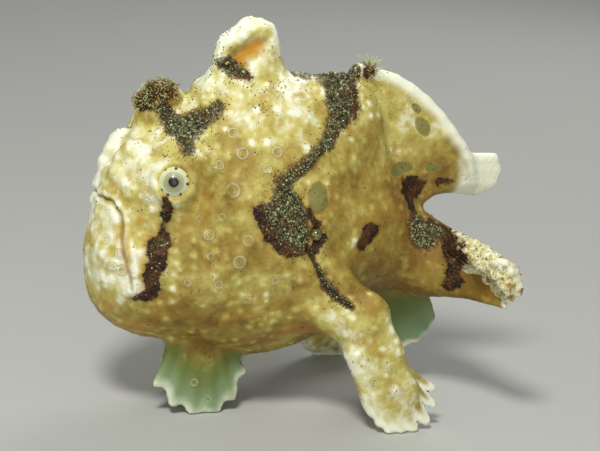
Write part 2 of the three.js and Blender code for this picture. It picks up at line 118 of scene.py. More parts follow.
TAIL_CRUST = [
    (31, -14.4, 38.6, 1.5),
    (32.4, -16.6, 37, 1.9),
    (34, -19.4, 36.8, 1.7),
    (35.8, -21.8, 35.2, 1.9),
    (37.2, -23.6, 33.6, 1.5),
]  # how far down the crust on it reaches
SPINE_CLUMP = [
    (-25.4, 3.2, 79.5, 0.9),
    (-24, 4, 78.6, 1.1),
    (-22.7, 4.3, 77.6, 0.9),
    (-20.7, 4.3, 76.7, 0.7),
]  # x, y, z and radius of the clump of sand on the third spine, on the left

EYE_DOTS = [
    (183, 2.95, 0.36),
    (152, 3.2, 0.3),
    (95, 2.9, 0.34),
    (52, 3.3, 0.4),
    (22, 3.6, 0.42),
    (322, 3.15, 0.38),
    (290, 2.95, 0.34),
    (236, 2.95, 0.32),
]  # angle from the tail's side, distance from the pupil's middle and radius of the eye's brown dots


def unit(vector):
    vector = np.array(vector, float)
    return vector / np.linalg.norm(vector)


def on_side(point, side):
    return np.array([point[0], point[1] * side, point[2]], float)


def eye_middle(side):
    dome = on_side(EYE_DOME, side)
    return dome + unit(on_side(EYE_AIM, side)) * (EYE_DOME_RADIUS - EYE_DEPTH)


def eye_axes(side):
    """The way that an eye looks, and two directions across it: level and upward."""
    aim = unit(on_side(EYE_AIM, side))
    turn = unit(np.cross(aim, (0, 0, 1)))
    return aim, turn, np.cross(turn, aim)


def frame_offset():
    low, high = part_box("eye_left")
    return np.array((low + high) / 2) / MM - eye_middle(-1)


HOME = frame_offset()


def to_frame(points):
    """Millimetres in the fish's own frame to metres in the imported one."""
    return (np.asarray(points, float) + HOME) * MM


def lerp(a, b, t):
    return a + (b - a) * t


def smooth_step(x, low, high):
    t = np.clip((x - low) / (high - low), 0, 1)
    return t * t * (3 - 2 * t)


def hump(x, width):
    t = np.minimum(np.abs(x) / width, 1)
    return (1 - t * t) ** 2


# Forms: each gives signed distances in millimetres and the box that holds it

Form = namedtuple("Form", "distance low high")


def ellipsoid(centre, radii):
    centre, radii = np.array(centre, np.float32), np.array(radii, np.float32)

    def distance(p):
        q = (p - centre) / radii
        near = np.sqrt((q * q).sum(-1))
        slope = np.sqrt(((q / radii) ** 2).sum(-1))
        return near * (near - 1) / np.maximum(slope, 1e-5)

    return Form(distance, centre - radii, centre + radii)


def ball(centre, radius):
    return ellipsoid(centre, [radius] * 3)


def limb(a, radius_a, b, radius_b, flat=(0, 1, 0), squash=1.0):
    a, b, flat = (np.array(v, np.float32) for v in (a, b, unit(flat)))
    axis = b - a

    def distance(p):
        q = p - a
        q = q + (q @ flat)[..., None] * flat * (1 / squash - 1)
        t = np.clip(q @ axis / (axis @ axis), 0, 1)
        off = q - t[..., None] * axis
        return (np.sqrt((off * off).sum(-1)) - lerp(radius_a, radius_b, t)) * min(1, squash + 0.15)

    reach = max(radius_a, radius_b)
    return Form(distance, np.minimum(a, b) - reach, np.maximum(a, b) + reach)


def smooth_min(a, b, width):
    blend = np.maximum(width - np.abs(a - b), 0) / width
    return np.minimum(a, b) - blend * blend * width / 4


class Field:
    """Signed distances on a regular grid, negative inside the fish."""

    def __init__(self, low, high, cell):
        self.low = np.array(low, float)
        self.cell = cell
        self.size = np.ceil((np.array(high) - self.low) / cell).astype(int) + 1
        self.values = np.full(self.size, FAR, np.float32)

    def window(self, low, high):
        first = np.floor((np.array(low) - self.low) / self.cell).astype(int)
        last = np.ceil((np.array(high) - self.low) / self.cell).astype(int) + 1
        first, last = np.maximum(first, 0), np.minimum(last, self.size)
        axes = [self.low[n] + self.cell * np.arange(first[n], last[n]) for n in range(3)]
        points = np.stack(np.meshgrid(*axes, indexing="ij"), axis=-1)
        return tuple(slice(*ends) for ends in zip(first, last)), points.astype(np.float32)

    def melt(self, form, width):
        reach = width + 2
        part, points = self.window(form.low - reach, form.high + reach)
        self.values[part] = smooth_min(self.values[part], form.distance(points), width)

    def carve(self, form, width):
        part, points = self.window(form.low - width, form.high + width)
        self.values[part] = -smooth_min(-self.values[part], form.distance(points), width)

    def sample(self, points):
        place = np.clip((points - self.low) / self.cell, 0, self.size - 1.001)
        n = place.astype(int)
        share = place - n
        total = np.zeros(len(points))
        for corner in np.ndindex(2, 2, 2):
            weight = np.prod(np.where(corner, share, 1 - share), axis=1)
            total += weight * self.values[tuple((n + corner).T)]
        return total

    def skin_point(self, x, z, side):
        """Where a line from the fish's middle plane to one side leaves the flesh."""
        point = np.array([[x, 0.0, z]])
        for _ in range(60):
            point[0, 1] -= 0.8 * side * self.sample(point)[0]
        return point[0]


def surface_net(field):
    """Vertices and quads of the surface where the field is zero."""
    values, inside = field.values, field.values < 0
    cells = field.size - 1
    count = np.zeros(cells.prod())
    total = np.zeros((3, cells.prod()))
    quads = []
    for axis in range(3):
        below = tuple(slice(0, -1) if n == axis else slice(None) for n in range(3))
        above = tuple(slice(1, None) if n == axis else slice(None) for n in range(3))
        crossed = inside[below] != inside[above]
        where = np.argwhere(crossed)
        a, b = values[below][crossed], values[above][crossed]
        spots = where.astype(float)
        spots[:, axis] += a / (a - b)
        second, third = (axis + 1) % 3, (axis + 2) % 3
        around = []
        for back, down in ((0, 0), (1, 0), (1, 1), (0, 1)):
            cell = where.copy()
            cell[:, second] -= back
            cell[:, third] -= down
            flat = np.ravel_multi_index(tuple(cell.T), cells)
            around.append(flat)
            count += np.bincount(flat, minlength=len(count))
            for n in range(3):
                total[n] += np.bincount(flat, weights=spots[:, n], minlength=len(count))
        quad = np.stack(around, axis=1)
        turned = ~inside[below][crossed]
        quad[turned] = quad[turned][:, ::-1]
        quads.append(quad)
    used = np.flatnonzero(count)
    vertices = (total[:, used] / count[used]).T * field.cell + field.low
    index = np.zeros(len(count), int)
    index[used] = np.arange(len(used))
    return largest_piece(vertices, index[np.concatenate(quads)])


def largest_piece(vertices, quads):
    labels = np.arange(len(vertices))
    a = quads.ravel()
    b = np.roll(quads, 1, axis=1).ravel()
    while True:
        before = labels.copy()
        np.minimum.at(labels, a, labels[b])
        np.minimum.at(labels, b, labels[a])
        labels = labels[labels]
        if (labels == before).all():
            break
    main = np.bincount(labels).argmax()
    kept = labels == main
    index = np.cumsum(kept) - 1
    return vertices[kept], index[quads[kept[quads[:, 0]]]]


def vertex_normals(vertices, quads):
    across = vertices[quads[:, 2]] - vertices[quads[:, 0]]
    over = vertices[quads[:, 3]] - vertices[quads[:, 1]]
    face = np.cross(across, over)
    normals = np.zeros_like(vertices)
    for n in range(4):
        for axis in range(3):
            normals[:, axis] += np.bincount(quads[:, n], face[:, axis], len(vertices))
    return normals / np.maximum(np.linalg.norm(normals, axis=1), 1e-9)[:, None]


def relaxed(vertices, quads, passes, weight):
    """Vertices drawn towards the middle of their neighbours by the given weight, pass after pass.
    """
    a = quads.ravel()
    b = np.roll(quads, 1, axis=1).ravel()
    count = len(vertices)
    number = np.bincount(a, minlength=count) + np.bincount(b, minlength=count)
    for _ in range(passes):
        total = [
            np.bincount(a, vertices[b, n], count) + np.bincount(b, vertices[a, n], count)
            for n in range(3)
        ]
        vertices = vertices + weight * (np.stack(total, axis=1) / number[:, None] - vertices)
    return vertices


# Fins


def path(points):
    """A smooth path through points, with t from 0 at the first to 1 at the last."""
    points = np.array(points, float)
    line = np.vstack([2 * points[0] - points[1], points, 2 * points[-1] - points[-2]])

    def at(t):
        place = np.clip(t, 0, 1) * (len(points) - 1)
        n = np.minimum(place.astype(int), len(points) - 2)
        w = (place - n)[..., None]
        p0, p1, p2, p3 = (line[n + k] for k in range(4))
        pairs = ((p0, p1), (p1, p2), (p2, p3))
        a, b, c = (np.linalg.norm(q - p, axis=-1)[..., None] ** 0.5 for p, q in pairs)
        m1 = b * ((p1 - p0) / a - (p2 - p0) / (a + b) + (p2 - p1) / b)
        m2 = b * ((p2 - p1) / b - (p3 - p1) / (b + c) + (p3 - p2) / c)
        w2, w3 = w * w, w * w * w
        start = p1 * (2 * w3 - 3 * w2 + 1) + m1 * (w3 - 2 * w2 + w)
        return start + p2 * (3 * w2 - 2 * w3) + m2 * (w3 - w2)

    return at


def vec(x=0.0, y=0.0, z=0.0):
    return np.stack(np.broadcast_arrays(x, y, z), axis=-1)


Fin = namedtuple("Fin", "name rays root tip bow half notch ridge gap", defaults=(1.2,))


def fin_middle(fin, t, s):
    """Points on a fin's middle sheet. Between two rays the edge is drawn in by the notch."""
    between = np.abs(np.sin(np.pi * (fin.rays - 1) * t))
    reach = s * (1 - fin.notch(t) * between**fin.gap)
    root, tip = fin.root(t), fin.tip(t)
    return root + (tip - root) * reach[..., None] + fin.bow(t, reach)


def fin_half(fin, t, s):
    ray = np.cos(np.pi * (fin.rays - 1) * t) ** 2
    return fin.half(t, s) + fin.ridge * (ray - 0.5) * smooth_step(s, 0, 0.3) * (1 - 0.3 * s)


def mirrored_path(points, side, shift=0.0):
    return path([(x + shift, y * side, z) for x, y, z in points])


def dorsal_fin():
    return Fin(
        "dorsal_fin",
        rays=11,
        root=path([(3, 0, 66), (10, 0, 61), (16, 0, 53.5), (20.5, 0, 45)]),
        tip=path(
            [
                (7, 0, 78),
                (16, 0, 75.8),
                (24, -0.5, 71),
                (31, -1, 64),
                (36, -0.5, 57.5),
                (37.5, 0.6, 51.5),
            ]
        ),
        bow=lambda t, s: vec(z=(3 + 7 * t * t) * s * (1 - s)),
        half=lambda t, s: lerp(3, 1, s**0.8) + 0.35 * hump(1 - s, 0.2),
        notch=lambda t: 0.006,
        ridge=0.12,
    )


def last_rays():
    return Fin(
        "last_rays",
        rays=4,
        root=path([(29, -0.6, 57), (29.5, -0.4, 54.5), (30.5, 0, 51)]),
        tip=path([(43.6, 1.2, 57.4), (45, 1.6, 54.4), (44.4, 2, 50.8), (40.6, 2.4, 48.8)]),
        bow=lambda t, s: vec(y=1.2 * s * (1 - s)),
        half=lambda t, s: lerp(1.7, 1.1, s),
        notch=lambda t: 0.015,
        ridge=0.1,
    )


def anal_fin():
    return Fin(
        "anal_fin",
        rays=7,
        root=path([(8, 0, 33), (15, 0, 33), (23, -0.5, 32)]),
        tip=path([(14, 2, 15), (20, 3, 10.8), (26, 3, 10.2), (31, 2.5, 13), (33, 2, 17)]),
        bow=lambda t, s: vec(x=2.5 * s * (1 - s)),
        half=lambda t, s: lerp(2, 0.6, s),
        notch=lambda t: 0.015,
        ridge=0.25,
    )


STUMP = np.array([30.6, -9.2, 34.3])
STUMP_NORMAL = unit((0.62, -0.78, -0.12))


def tail_fin():
    start = STUMP - 1.5 * STUMP_NORMAL
    onward = unit((math.cos(-1.1), math.sin(-1.1), 0.12))

    def tip(t):
        reach = 18.5 + 3 * np.sin(np.pi * t)
        return start + onward * reach[..., None] + vec(z=lerp(-7.5, 5.5, t))

    def bow(t, s):
        curl = smooth_step(t, 0.5, 1) * s
        return vec(3.5 * s * (1 - s) - 3.6 * curl, -1.6 * curl, -1.5 * curl * curl)

    return Fin(
        "tail_fin",
        rays=9,
        root=lambda t: start + vec(z=lerp(-5, 5.2, t)),
        tip=tip,
        bow=bow,
        half=lambda t, s: lerp(2.8, 0.6, s**0.7),
        notch=lambda t: 0.05,
        ridge=0.3,
    )


def hand(side):
    return Fin(
        "hand",
        rays=8,
        root=mirrored_path([(4.6, 22.2, 18), (8.4, 22.5, 19), (11.4, 21.8, 19)], side),
        tip=mirrored_path(
            [
                (8.2, 24, 4.6),
                (10.8, 24.3, 1.4),
                (15, 24.2, -0.7),
                (20, 23.6, -0.5),
                (23.6, 22.4, 4),
                (24.2, 21.2, 9),
            ],
            side,
        ),
        bow=lambda t, s: vec(-8 * t**4 * s * (1 - s), 1.2 * side * np.sin(np.pi * t) * s),
        half=lambda t, s: lerp(3, 0.6, s**0.75),
        notch=lambda t: lerp(0.09, 0.3, smooth_step(t, 0.5, 0.8)),
        ridge=0.4,
        gap=3,
    )


RIGHT_STRIDE = 5.5  # the right pelvic fin stands this much further back


def pelvic_fin(side):
    stride = RIGHT_STRIDE if side > 0 else 0
    return Fin(
        "pelvic_fin",
        rays=6,
        root=mirrored_path([(-33.2, 5, 20), (-27, 5.2, 17.4), (-20.4, 5, 17)], side, stride),
        tip=mirrored_path(
            [
                (-37.6, 7.5, 7),
                (-33.6, 8, 2.4),
                (-28.6, 8, -0.6),
                (-23.2, 7.8, -0.8),
                (-18.8, 7.2, 3.2),
                (-16.4, 6.6, 9),
            ],
            side,
            stride,
        ),
        bow=lambda t, s: vec(5 * (1 - 2 * t) * s * (1 - s), 0.8 * side * np.sin(np.pi * t) * s),
        half=lambda t, s: lerp(2.6, 0.6, s**0.7),
        notch=lambda t: 0.1,
        ridge=0.3,
    )


def all_fins():
    paired = [make(side) for make in (hand, pelvic_fin) for side in SIDES.values()]
    return [dorsal_fin(), last_rays(), anal_fin(), tail_fin(), *paired]


class FinSheet:
    """A fin's middle sheet as a cloud of points that can be searched for the nearest."""

    def __init__(self, fin):
        self.fin = fin
        across, high = np.linspace(0, 1, 26 * fin.rays + 1), np.linspace(0, 1, 110)
        along, up = np.meshgrid(across, high, indexing="ij")
        self.t, self.s = along.ravel(), up.ravel()
        self.points = fin_middle(fin, self.t, self.s)
        self.half = fin_half(fin, self.t, self.s)
        self.tree = kdtree.KDTree(len(self.points))
        for n, point in enumerate(self.points):
            self.tree.insert(point, n)
        self.tree.balance()

    def nearest(self, points):
        """For each point, its distance to the fin's surface and its place (t, s) on the sheet."""
        found = [self.tree.find(point) for point in points]
        which = np.array([hit[1] for hit in found])
        gap = np.array([hit[2] for hit in found])
        return gap - self.half[which], self.t[which], self.s[which]

    def form(self):
        def distance(p):
            return self.nearest(p.reshape(-1, 3))[0].reshape(p.shape[:-1]).astype(np.float32)

        low, high = self.points.min(0), self.points.max(0)
        return Form(distance, low - 1, high + 1)


# The flesh


def add_balls(field, balls, width, sides=tuple(SIDES.values())):
    for side in sides:
        for x, y, z, radius in balls:
            field.melt(ball((x, y * side, z), radius), width)


def add_body(field):
    masses = [
        ellipsoid((-15, 0, 40), (29.5, 18.5, 28.5)),
        ellipsoid((-32, 0, 38), (17.5, 16.5, 22)),
        ellipsoid((-41.8, 0, 35), (11.4, 12.5, 16.5)),
        ellipsoid((-40, 0, 51), (9.8, 11, 9.5)),
        ellipsoid((-32, 0, 58), (11, 10, 10.5)),
        ellipsoid((-13, 0, 60), (22.5, 12, 16.7)),
        ellipsoid((3, 0, 61), (12, 7.5, 15.2)),
        ellipsoid((9, 0, 42.5), (15, 11, 16)),
        limb((14, 0, 37), 9.5, (26.5, -3, 34.5), 7.8, (0.3, 1, 0), 0.7),
        limb((26.5, -3, 34.5), 7.8, (31.5, -9.5, 34.2), 6.3, (0.8, 0.6, 0), 0.65),
        *(ball(on_side(EYE_DOME, side), EYE_DOME_RADIUS) for side in SIDES.values()),
    ]
    for mass in masses:
        field.melt(mass, width=6)
    add_balls(field, KNOBS, width=1.2)


def add_spines(field):
    second = [
        limb((-40, 0, 57), 5, (-40.6, 0, 68), 3.1, squash=0.8),
        limb((-40.6, 0, 68), 3.1, (-38.6, 0, 71.6), 2.2, squash=0.9),
        limb((-38.6, 0, 71.6), 2.2, (-35.2, 0, 71.6), 1.6, squash=0.9),
        limb((-39, 0, 63), 3, (-31, 0, 64.5), 3, squash=0.45),
    ]
    third = [
        limb((-21.5, 0, 67), 9.5, (-20.8, 0, 80.5), 5.2, squash=0.62),
        limb((-20.8, 0, 80.5), 5.0, (-18.4, 0, 83.4), 4.5, squash=0.8),
        limb((-14.5, 0, 68), 5.5, (-16.2, 0, 84.8), 2.9, squash=0.8),
    ]
    for form in second:
        field.melt(form, width=2.5)
    for form in third:
        field.melt(form, width=4)


ELBOW, WRIST = (4.9, 20.8, 25.4), (9.2, 22.5, 17.7)
ARM_LIMBS = [
    ((-7, 12, 36), 6.8, ELBOW, 5.6, 0.8, 4),
    ((-10, 9, 28), 6.5, ELBOW, 5.3, 0.8, 4),
    (ELBOW, 5.6, WRIST, 5.2, 0.72, 3),
    (WRIST, 5.3, (12.5, 23.5, 9), 7, 0.5, 3),
]  # from a place with its radius to another, how far it is flattened, and how softly it melts


def add_arms(field):
    for side in SIDES.values():
        for a, radius_a, b, radius_b, squash, width in ARM_LIMBS:
            flat = (0.22, -side, 0.1)
            form = limb(on_side(a, side), radius_a, on_side(b, side), radius_b, flat, squash)
            field.melt(form, width)


def add_lids(field):
    for side in SIDES.values():
        aim, turn, rise = eye_axes(side)
        eye = eye_middle(side)
        for angle in circle(28):
            out = math.cos(angle) * turn + math.sin(angle) * rise
            spot = eye + aim * LID_AHEAD + LID_RADIUS * out
            field.melt(ball(spot, LID_THICKNESS), width=1.5)
        field.carve(ball(eye, EYE_RADIUS - 0.35), width=0.1)


def add_chain(field, chain, width):
    for (*a, radius_a), (*b, radius_b) in zip(chain, chain[1:]):
        field.melt(limb(a, radius_a, b, radius_b), width)


def add_face(field):
    for side in SIDES.values():
        add_balls(field, LUMPS, 0.8, [side])
        bone = []
        for x, z, radius in JAW_BONE:
            bone.append((*(field.skin_point(x, z, side) - (0, 0.6 * side * radius, 0)), radius))
        add_chain(field, bone, width=1.2)


def add_hollows(field):
    """The third spine's concave side, and the pit in front of the left arm."""
    for side in SIDES.values():
        valley = limb((-22, 5.8 * side, 79.6), 4.0, (-18, 5.6 * side, 84), 3.4)
        field.carve(valley, width=1.2)
    pit = field.skin_point(-6, 44.4, SIDES["left"])
    field.carve(ellipsoid(pit - (0, 0.3, 0), (1.9, 1.9, 2.2)), width=0.8)


def make_flesh(cell):
    field = Field((-58, -30, -2), (50, 30, 93), cell)
    add_body(field)
    add_face(field)
    add_spines(field)
    add_arms(field)
    sheets = [FinSheet(fin) for fin in all_fins()]
    for sheet in sheets:
        field.melt(sheet.form(), width=1.6)
    for chain in (TAIL_ROLL, TAIL_RIM):
        add_chain(field, chain, width=1.2)
    add_balls(field, SPINE_CLUMP, 0.6, [SIDES["left"]])
    add_lids(field)
    add_hollows(field)
    height = field.low[2] + cell * np.arange(field.size[2])
    field.values = np.maximum(field.values, -height.astype(np.float32))
    return field, sheets


# Markings: each is a band through stops (x, z, half width) seen from the side it lies on

BACK_CRUST = [
    [(-8, 78, 1.3), (4.5, 77.5, 2.2)],
    [(0.6, 75.5, 3.3), (0.8, 70.5, 3.0), (-1, 66.8, 1.4), (-3.6, 63, 1.2)],
]
SPINE_CRUST = [
    [
        (-38.8, 69, 1.2),
        (-37.2, 66.6, 1.7),
        (-34.6, 65.2, 2.0),
        (-30.6, 67.9, 1.5),
        (-27.4, 70.2, 0.7),
    ],
    [(-35.2, 64.6, 1.7), (-35, 62.6, 1.1)],
    [(-25.4, 79.4, 1.0), (-23.6, 78.2, 1.4), (-22, 77.2, 0.9)],
]
LEFT_CRUST = [
    [(-3.6, 63, 1.1), (-8.9, 59.7, 0.95), (-14.6, 55.4, 1.2)],
    [(-14.2, 53.4, 2.2), (-12.8, 49, 3.6), (-11, 44.4, 2.7), (-10.6, 42.4, 1.6)],
    [(-16.6, 50.4, 1.6), (-12.8, 46.2, 2.8)],
    [(21.2, 44.4, 1.6), (23.4, 41.4, 2.8), (26.2, 41.8, 1.2)],
    [(-40.3, 42.7, 0.5), (-40, 42.1, 0.6)],
    [(-41.5, 34.8, 0.4), (-41.3, 34.2, 0.5)],
    [(-5.4, 37.6, 0.2), (-3.6, 33.4, 0.4), (-1.6, 31.2, 0.6), (1.2, 29.9, 0.5)],
]
RIGHT_CRUST = [
    [(-3.2, 63, 1.2), (-7.4, 58.2, 1.0), (-11.8, 54.6, 1.1)],
    [(-12.2, 52.6, 2.8), (-10.6, 47.2, 3.7), (-11.8, 42.6, 2.2)],
    [(20.4, 45, 1.5), (22.6, 40.6, 2.6), (25.4, 40, 1.8)],
]
LEFT_BROWN = [
    [(-40, 52, 0.75), (-39.7, 49.8, 1.0), (-39.9, 47, 0.5), (-40.2, 44.6, 0.2)],
    [(-39.9, 43, 1.4), (-41, 41, 2.0), (-41, 37.6, 1.4), (-41.7, 34.6, 1.6), (-41.6, 31.4, 1.7)],
    [(-41.6, 30.6, 1.5), (-44, 29.8, 0.9)],
    [(-18.8, 49.6, 1.7), (-16.4, 45.2, 2.0), (-13.2, 41.6, 1.8), (-9.8, 41.6, 1.2)],
    # This band darkens the pit in front of the left arm, where the bead lies: partly painted shade
    # in the pit.
    [(-8.2, 49.4, 0.5), (-6.2, 46.8, 0.9), (-4.8, 43.8, 0.9), (-6.2, 41.4, 0.9)],
    [(3.8, 74.4, 0.8), (4.4, 71, 1.1), (3.6, 68.6, 0.6)],
    [(19.8, 51.4, 2.0), (22.6, 51.4, 2.2), (25, 52.4, 0.8)],
    [(20.6, 48.6, 1.0), (20.4, 45.4, 0.6)],
    [(28.8, 52.3, 0.9), (32.2, 52.8, 0.6)],
    [(25.6, 43.4, 1.0), (28.4, 41.6, 1.4)],
    [(28.8, 39, 1.3), (29.8, 35.4, 1.3), (29.6, 31, 1.4)],
    [(6, 41.2, 1.5), (8.2, 43.8, 1.9)],
]
RIGHT_BROWN = [
    [(-39.6, 52, 0.8), (-39.2, 49, 0.8)],
    [(-40.6, 44, 1.5), (-41.4, 40, 2.1), (-40.8, 35.4, 1.6), (-42.2, 32.4, 1.9)],
    [(-16.8, 47.2, 2.0), (-14.8, 42.8, 1.7)],
    [(19.8, 52, 2.0), (23, 51, 1.9)],
    [(28.4, 39.6, 1.6), (30.2, 35.8, 1.9), (29.8, 31.4, 1.8)],
    [(4.4, 44, 1.5), (6.2, 46.2, 1.6)],
    [(-28.6, 27.4, 1.2), (-25.8, 28.8, 1.5)],
]
TOP_BROWN = [
    [(-42.8, 69.8, 1.6), (-40.8, 72.2, 1.8), (-36.6, 72.6, 1.5)],
    [(-20.6, 76.8, 0.8), (-20.2, 76.7, 0.8)],
    [(8.6, 77.8, 1.1), (9.6, 77.8, 1.1)],
]
CREASE = [
    (-7.9, 41.6, 0.4),
    (-6.3, 38.8, 0.3),
    (-5.0, 36, 0.3),
    (-3.8, 33.6, 0.3),
    (-2.6, 32, 0.4),
    (-1.1, 30.8, 0.4),
    (1.3, 29.7, 0.2),
]  # the fold above the arm, carved in and painted dark brown as shade
GAPE = [
    (-54, 49.8, 0),
    (-49.7, 49.2, 0),
    (-48.4, 47.6, 0),
    (-47.9, 45, 0),
    (-48, 42, 0),
    (-47.4, 39, 0),
    (-46.6, 36, 0),
    (-45.4, 31.6, 0),
]  # x, z and no width along the mouth
OVALS = [
    (-1, -5.8, 52.3, 2.3, 3.3, 0.1),
    (-1, 18.3, 55.8, 3.3, 1.35, 0.05),
    (-1, 26.5, 55.9, 1.7, 1.0, 0.0),
    (-1, 23.2, 65.3, 1.5, 2.4, 0.7),
    (-1, 21.2, 69.6, 0.9, 1.4, 0.9),
    (1, -4.4, 54, 2.2, 3.0, 0.0),
    (1, 17, 57, 2.6, 1.4, 0.1),
    (1, 24.6, 63, 1.6, 2.2, 0.6),
    (1, 10.5, 48.4, 1.7, 2.3, 0.0),
]  # side, x, z, half length, half height, turn

PORES = [
    (-25.6, 54.8, 1.5),
    (-27.4, 59.8, 1.0),
    (-31.5, 45.2, 1.1),
    (-22.7, 44.1, 1.1),
    (-24.4, 38.3, 1.35),
    (-15.5, 63.1, 1.1),
    (-24.8, 66.7, 1.1),
    (-23.8, 62.2, 1.2),
    (-29.1, 59.2, 0.7),
    (-33.6, 47.4, 0.8),
    (-28.2, 49.4, 0.8),
    (-30.6, 40.6, 0.8),
    (-35.4, 33.6, 0.8),
    (-27.8, 32.8, 0.9),
    (-18.2, 59.4, 0.9),
    (-51.5, 41.5, 0.9),
    (-49.1, 39.1, 0.9),
    (-50, 35.8, 0.8),
    (-48.4, 35.1, 1.0),
    (-44.7, 53.3, 0.9),
    (-44.4, 51.2, 0.7),
    (-14.6, 33.2, 0.9),
    (-21.4, 28.8, 0.9),
    (7.1, 12.3, 0.9),
    (10.5, 9.5, 0.8),
    (13.1, 11, 0.8),
    (11.8, 14.8, 0.7),
    (4.4, 24.6, 0.8),
    (-25.8, 4.5, 0.7),
    (-19.4, 3.6, 0.7),
    (-29, 8.6, 0.8),
    (26.4, 14.6, 0.7),
]  # ring-shaped sense organs: x, z and radius, on both sides


WHITE_EDGES = {
    "dorsal_fin": (0.84, 1.02),
    "last_rays": (0.2, 0.4),
    "anal_fin": (0.93, 1.02),
    "tail_fin": (0.94, 1.04),
    "hand": (0.78, 0.96),
    "pelvic_fin": (0.82, 1.12),
}  # where along each fin its edge begins to turn white, and where it is white


def band(x, z, stops):
    """Distance to a band, negative inside it."""
    best = np.full(x.shape, FAR * 4)
    for (x0, z0, r0), (x1, z1, r1) in zip(stops, stops[1:]):
        dx, dz = x1 - x0, z1 - z0
        t = np.clip(((x - x0) * dx + (z - z0) * dz) / (dx * dx + dz * dz), 0, 1)
        best = np.minimum(best, np.hypot(x - x0 - t * dx, z - z0 - t * dz) - lerp(r0, r1, t))
    return best


def marking(points, both, left=(), right=()):
    x, y, z = points.T
    best = np.full(len(points), FAR * 4)
    for stops in both:
        best = np.minimum(best, band(x, z, stops))
    for stops in left:
        best = np.where(y < 0, np.minimum(best, band(x, z, stops)), best)
    for stops in right:
        best = np.where(y >= 0, np.minimum(best, band(x, z, stops)), best)
    return best


def oval_marks(points):
    x, y, z = points.T
    best = np.full(len(points), FAR)
    for side, x0, z0, long, high, turn in OVALS:
        dx, dz = x - x0, z - z0
        along = (dx * math.cos(turn) + dz * math.sin(turn)) / long
        up = (dz * math.cos(turn) - dx * math.sin(turn)) / high
        ring = np.where(y * side > 0, np.hypot(along, up), FAR)
        best = np.minimum(best, ring)
    return best


def pore_spots(vertices):
    """Where each pore lies on the skin, with its radius: x and z are given, y is found."""
    spots = []
    for side in SIDES.values():
        own = vertices[vertices[:, 1] * side > 0]
        for n, (x, z, radius) in enumerate(PORES):
            shift = 0.6 * math.sin(5 * n) if side > 0 else 0
            flat = np.hypot(own[:, 0] - x - shift, own[:, 2] - z + shift)
            near = own[flat < 1.2]
            if len(near):
                outermost = near[np.abs(near[:, 1]).argmax()]
                spots.append((*outermost, radius))
    return np.array(spots)


def nearest_pore(points, spots):
    """The distance from the nearest pore's middle, in pore radii."""
    best = np.full(len(points), FAR)
    for x, y, z, radius in spots:
        best = np.minimum(best, np.linalg.norm(points - (x, y, z), axis=1) / radius)
    return best


def hashed(number):
    """A steady stand-in for a random draw from 0 to 1."""
    return np.modf(np.abs(np.sin(number) * 43758.5453))[0]


def wart_heights(points, spacing, seed):
    """Rounded warts on a jittered grid: 1 at the top of a wart, 0 between them."""
    cell = np.floor(points / spacing).astype(int)
    height = np.zeros(len(points))
    for step in np.ndindex(3, 3, 3):
        home = cell + np.array(step) - 1
        mixed = (home * (73856093, 19349663, 83492791)).sum(1) + seed * 2654435
        draws = [hashed((mixed + k * 7919) % 100003) for k in range(4)]
        spot = (home + np.stack(draws[:3], 1)) * spacing
        radius = spacing * lerp(0.3, 0.66, draws[3])
        away = np.linalg.norm(points - spot, axis=1)
        size = lerp(0.4, 1, draws[3]) * (draws[0] > 0.3)
        height = np.maximum(height, hump(away, radius) * size)
    return height


def soft_noise(points, size, seed):
    """Smooth noise from -1 to 1 that varies over size millimetres."""
    place = points / size + seed * 17.3
    cell = np.floor(place).astype(int)
    share = place - cell
    share = share * share * (3 - 2 * share)
    total = np.zeros(len(points))
    for corner in np.ndindex(2, 2, 2):
        home = cell + corner
        mixed = (home * (12.9898, 78.233, 37.719)).sum(1) + seed
        total += np.prod(np.where(corner, share, 1 - share), axis=1) * hashed(mixed)
    return total * 2 - 1


def fin_marks(vertices, sheets):
    """How far along a fin each vertex lies, how green its skin is, partly as painted shade on the
    pelvic and anal fins, and how white it is.
    """
    reach = np.zeros(len(vertices))
    green = np.zeros(len(vertices))
    white = np.zeros(len(vertices))
    for sheet in sheets:
        low, high = sheet.points.min(0) - 2, sheet.points.max(0) + 2
        near = np.flatnonzero(((vertices > low) & (vertices < high)).all(1))
        gap, t, s = sheet.nearest(vertices[near])
        on_fin = smooth_step(-gap, -1.2, -0.5)
        name = sheet.fin.name
        reach[near] = np.maximum(reach[near], on_fin * s)
        # The pelvic and anal fins turn a dark green that stands partly for the shade beneath the
        # body.
        if name in ("pelvic_fin", "anal_fin"):
            green[near] = np.maximum(green[near], on_fin * smooth_step(s, 0.15, 0.5))
        begin, full = WHITE_EDGES[name]
        pale = smooth_step(s + 0.04 * soft_noise(vertices[near], 2.2, 4), begin, full)
        white[near] = np.maximum(white[near], on_fin * pale)
    return reach, green, white


def chain_distance(points, chain):
    """Distance to the round chain of balls that begins at each (x, y, z, radius)."""
    best = np.full(len(points), FAR)
    for (*a, radius_a), (*b, radius_b) in zip(chain, chain[1:]):
        axis = np.subtract(b, a)
        t = np.clip((points - a) @ axis / (axis @ axis), 0, 1)
        away = np.linalg.norm(points - a - t[:, None] * axis, axis=1)
        best = np.minimum(best, away - lerp(radius_a, radius_b, t))
    return best


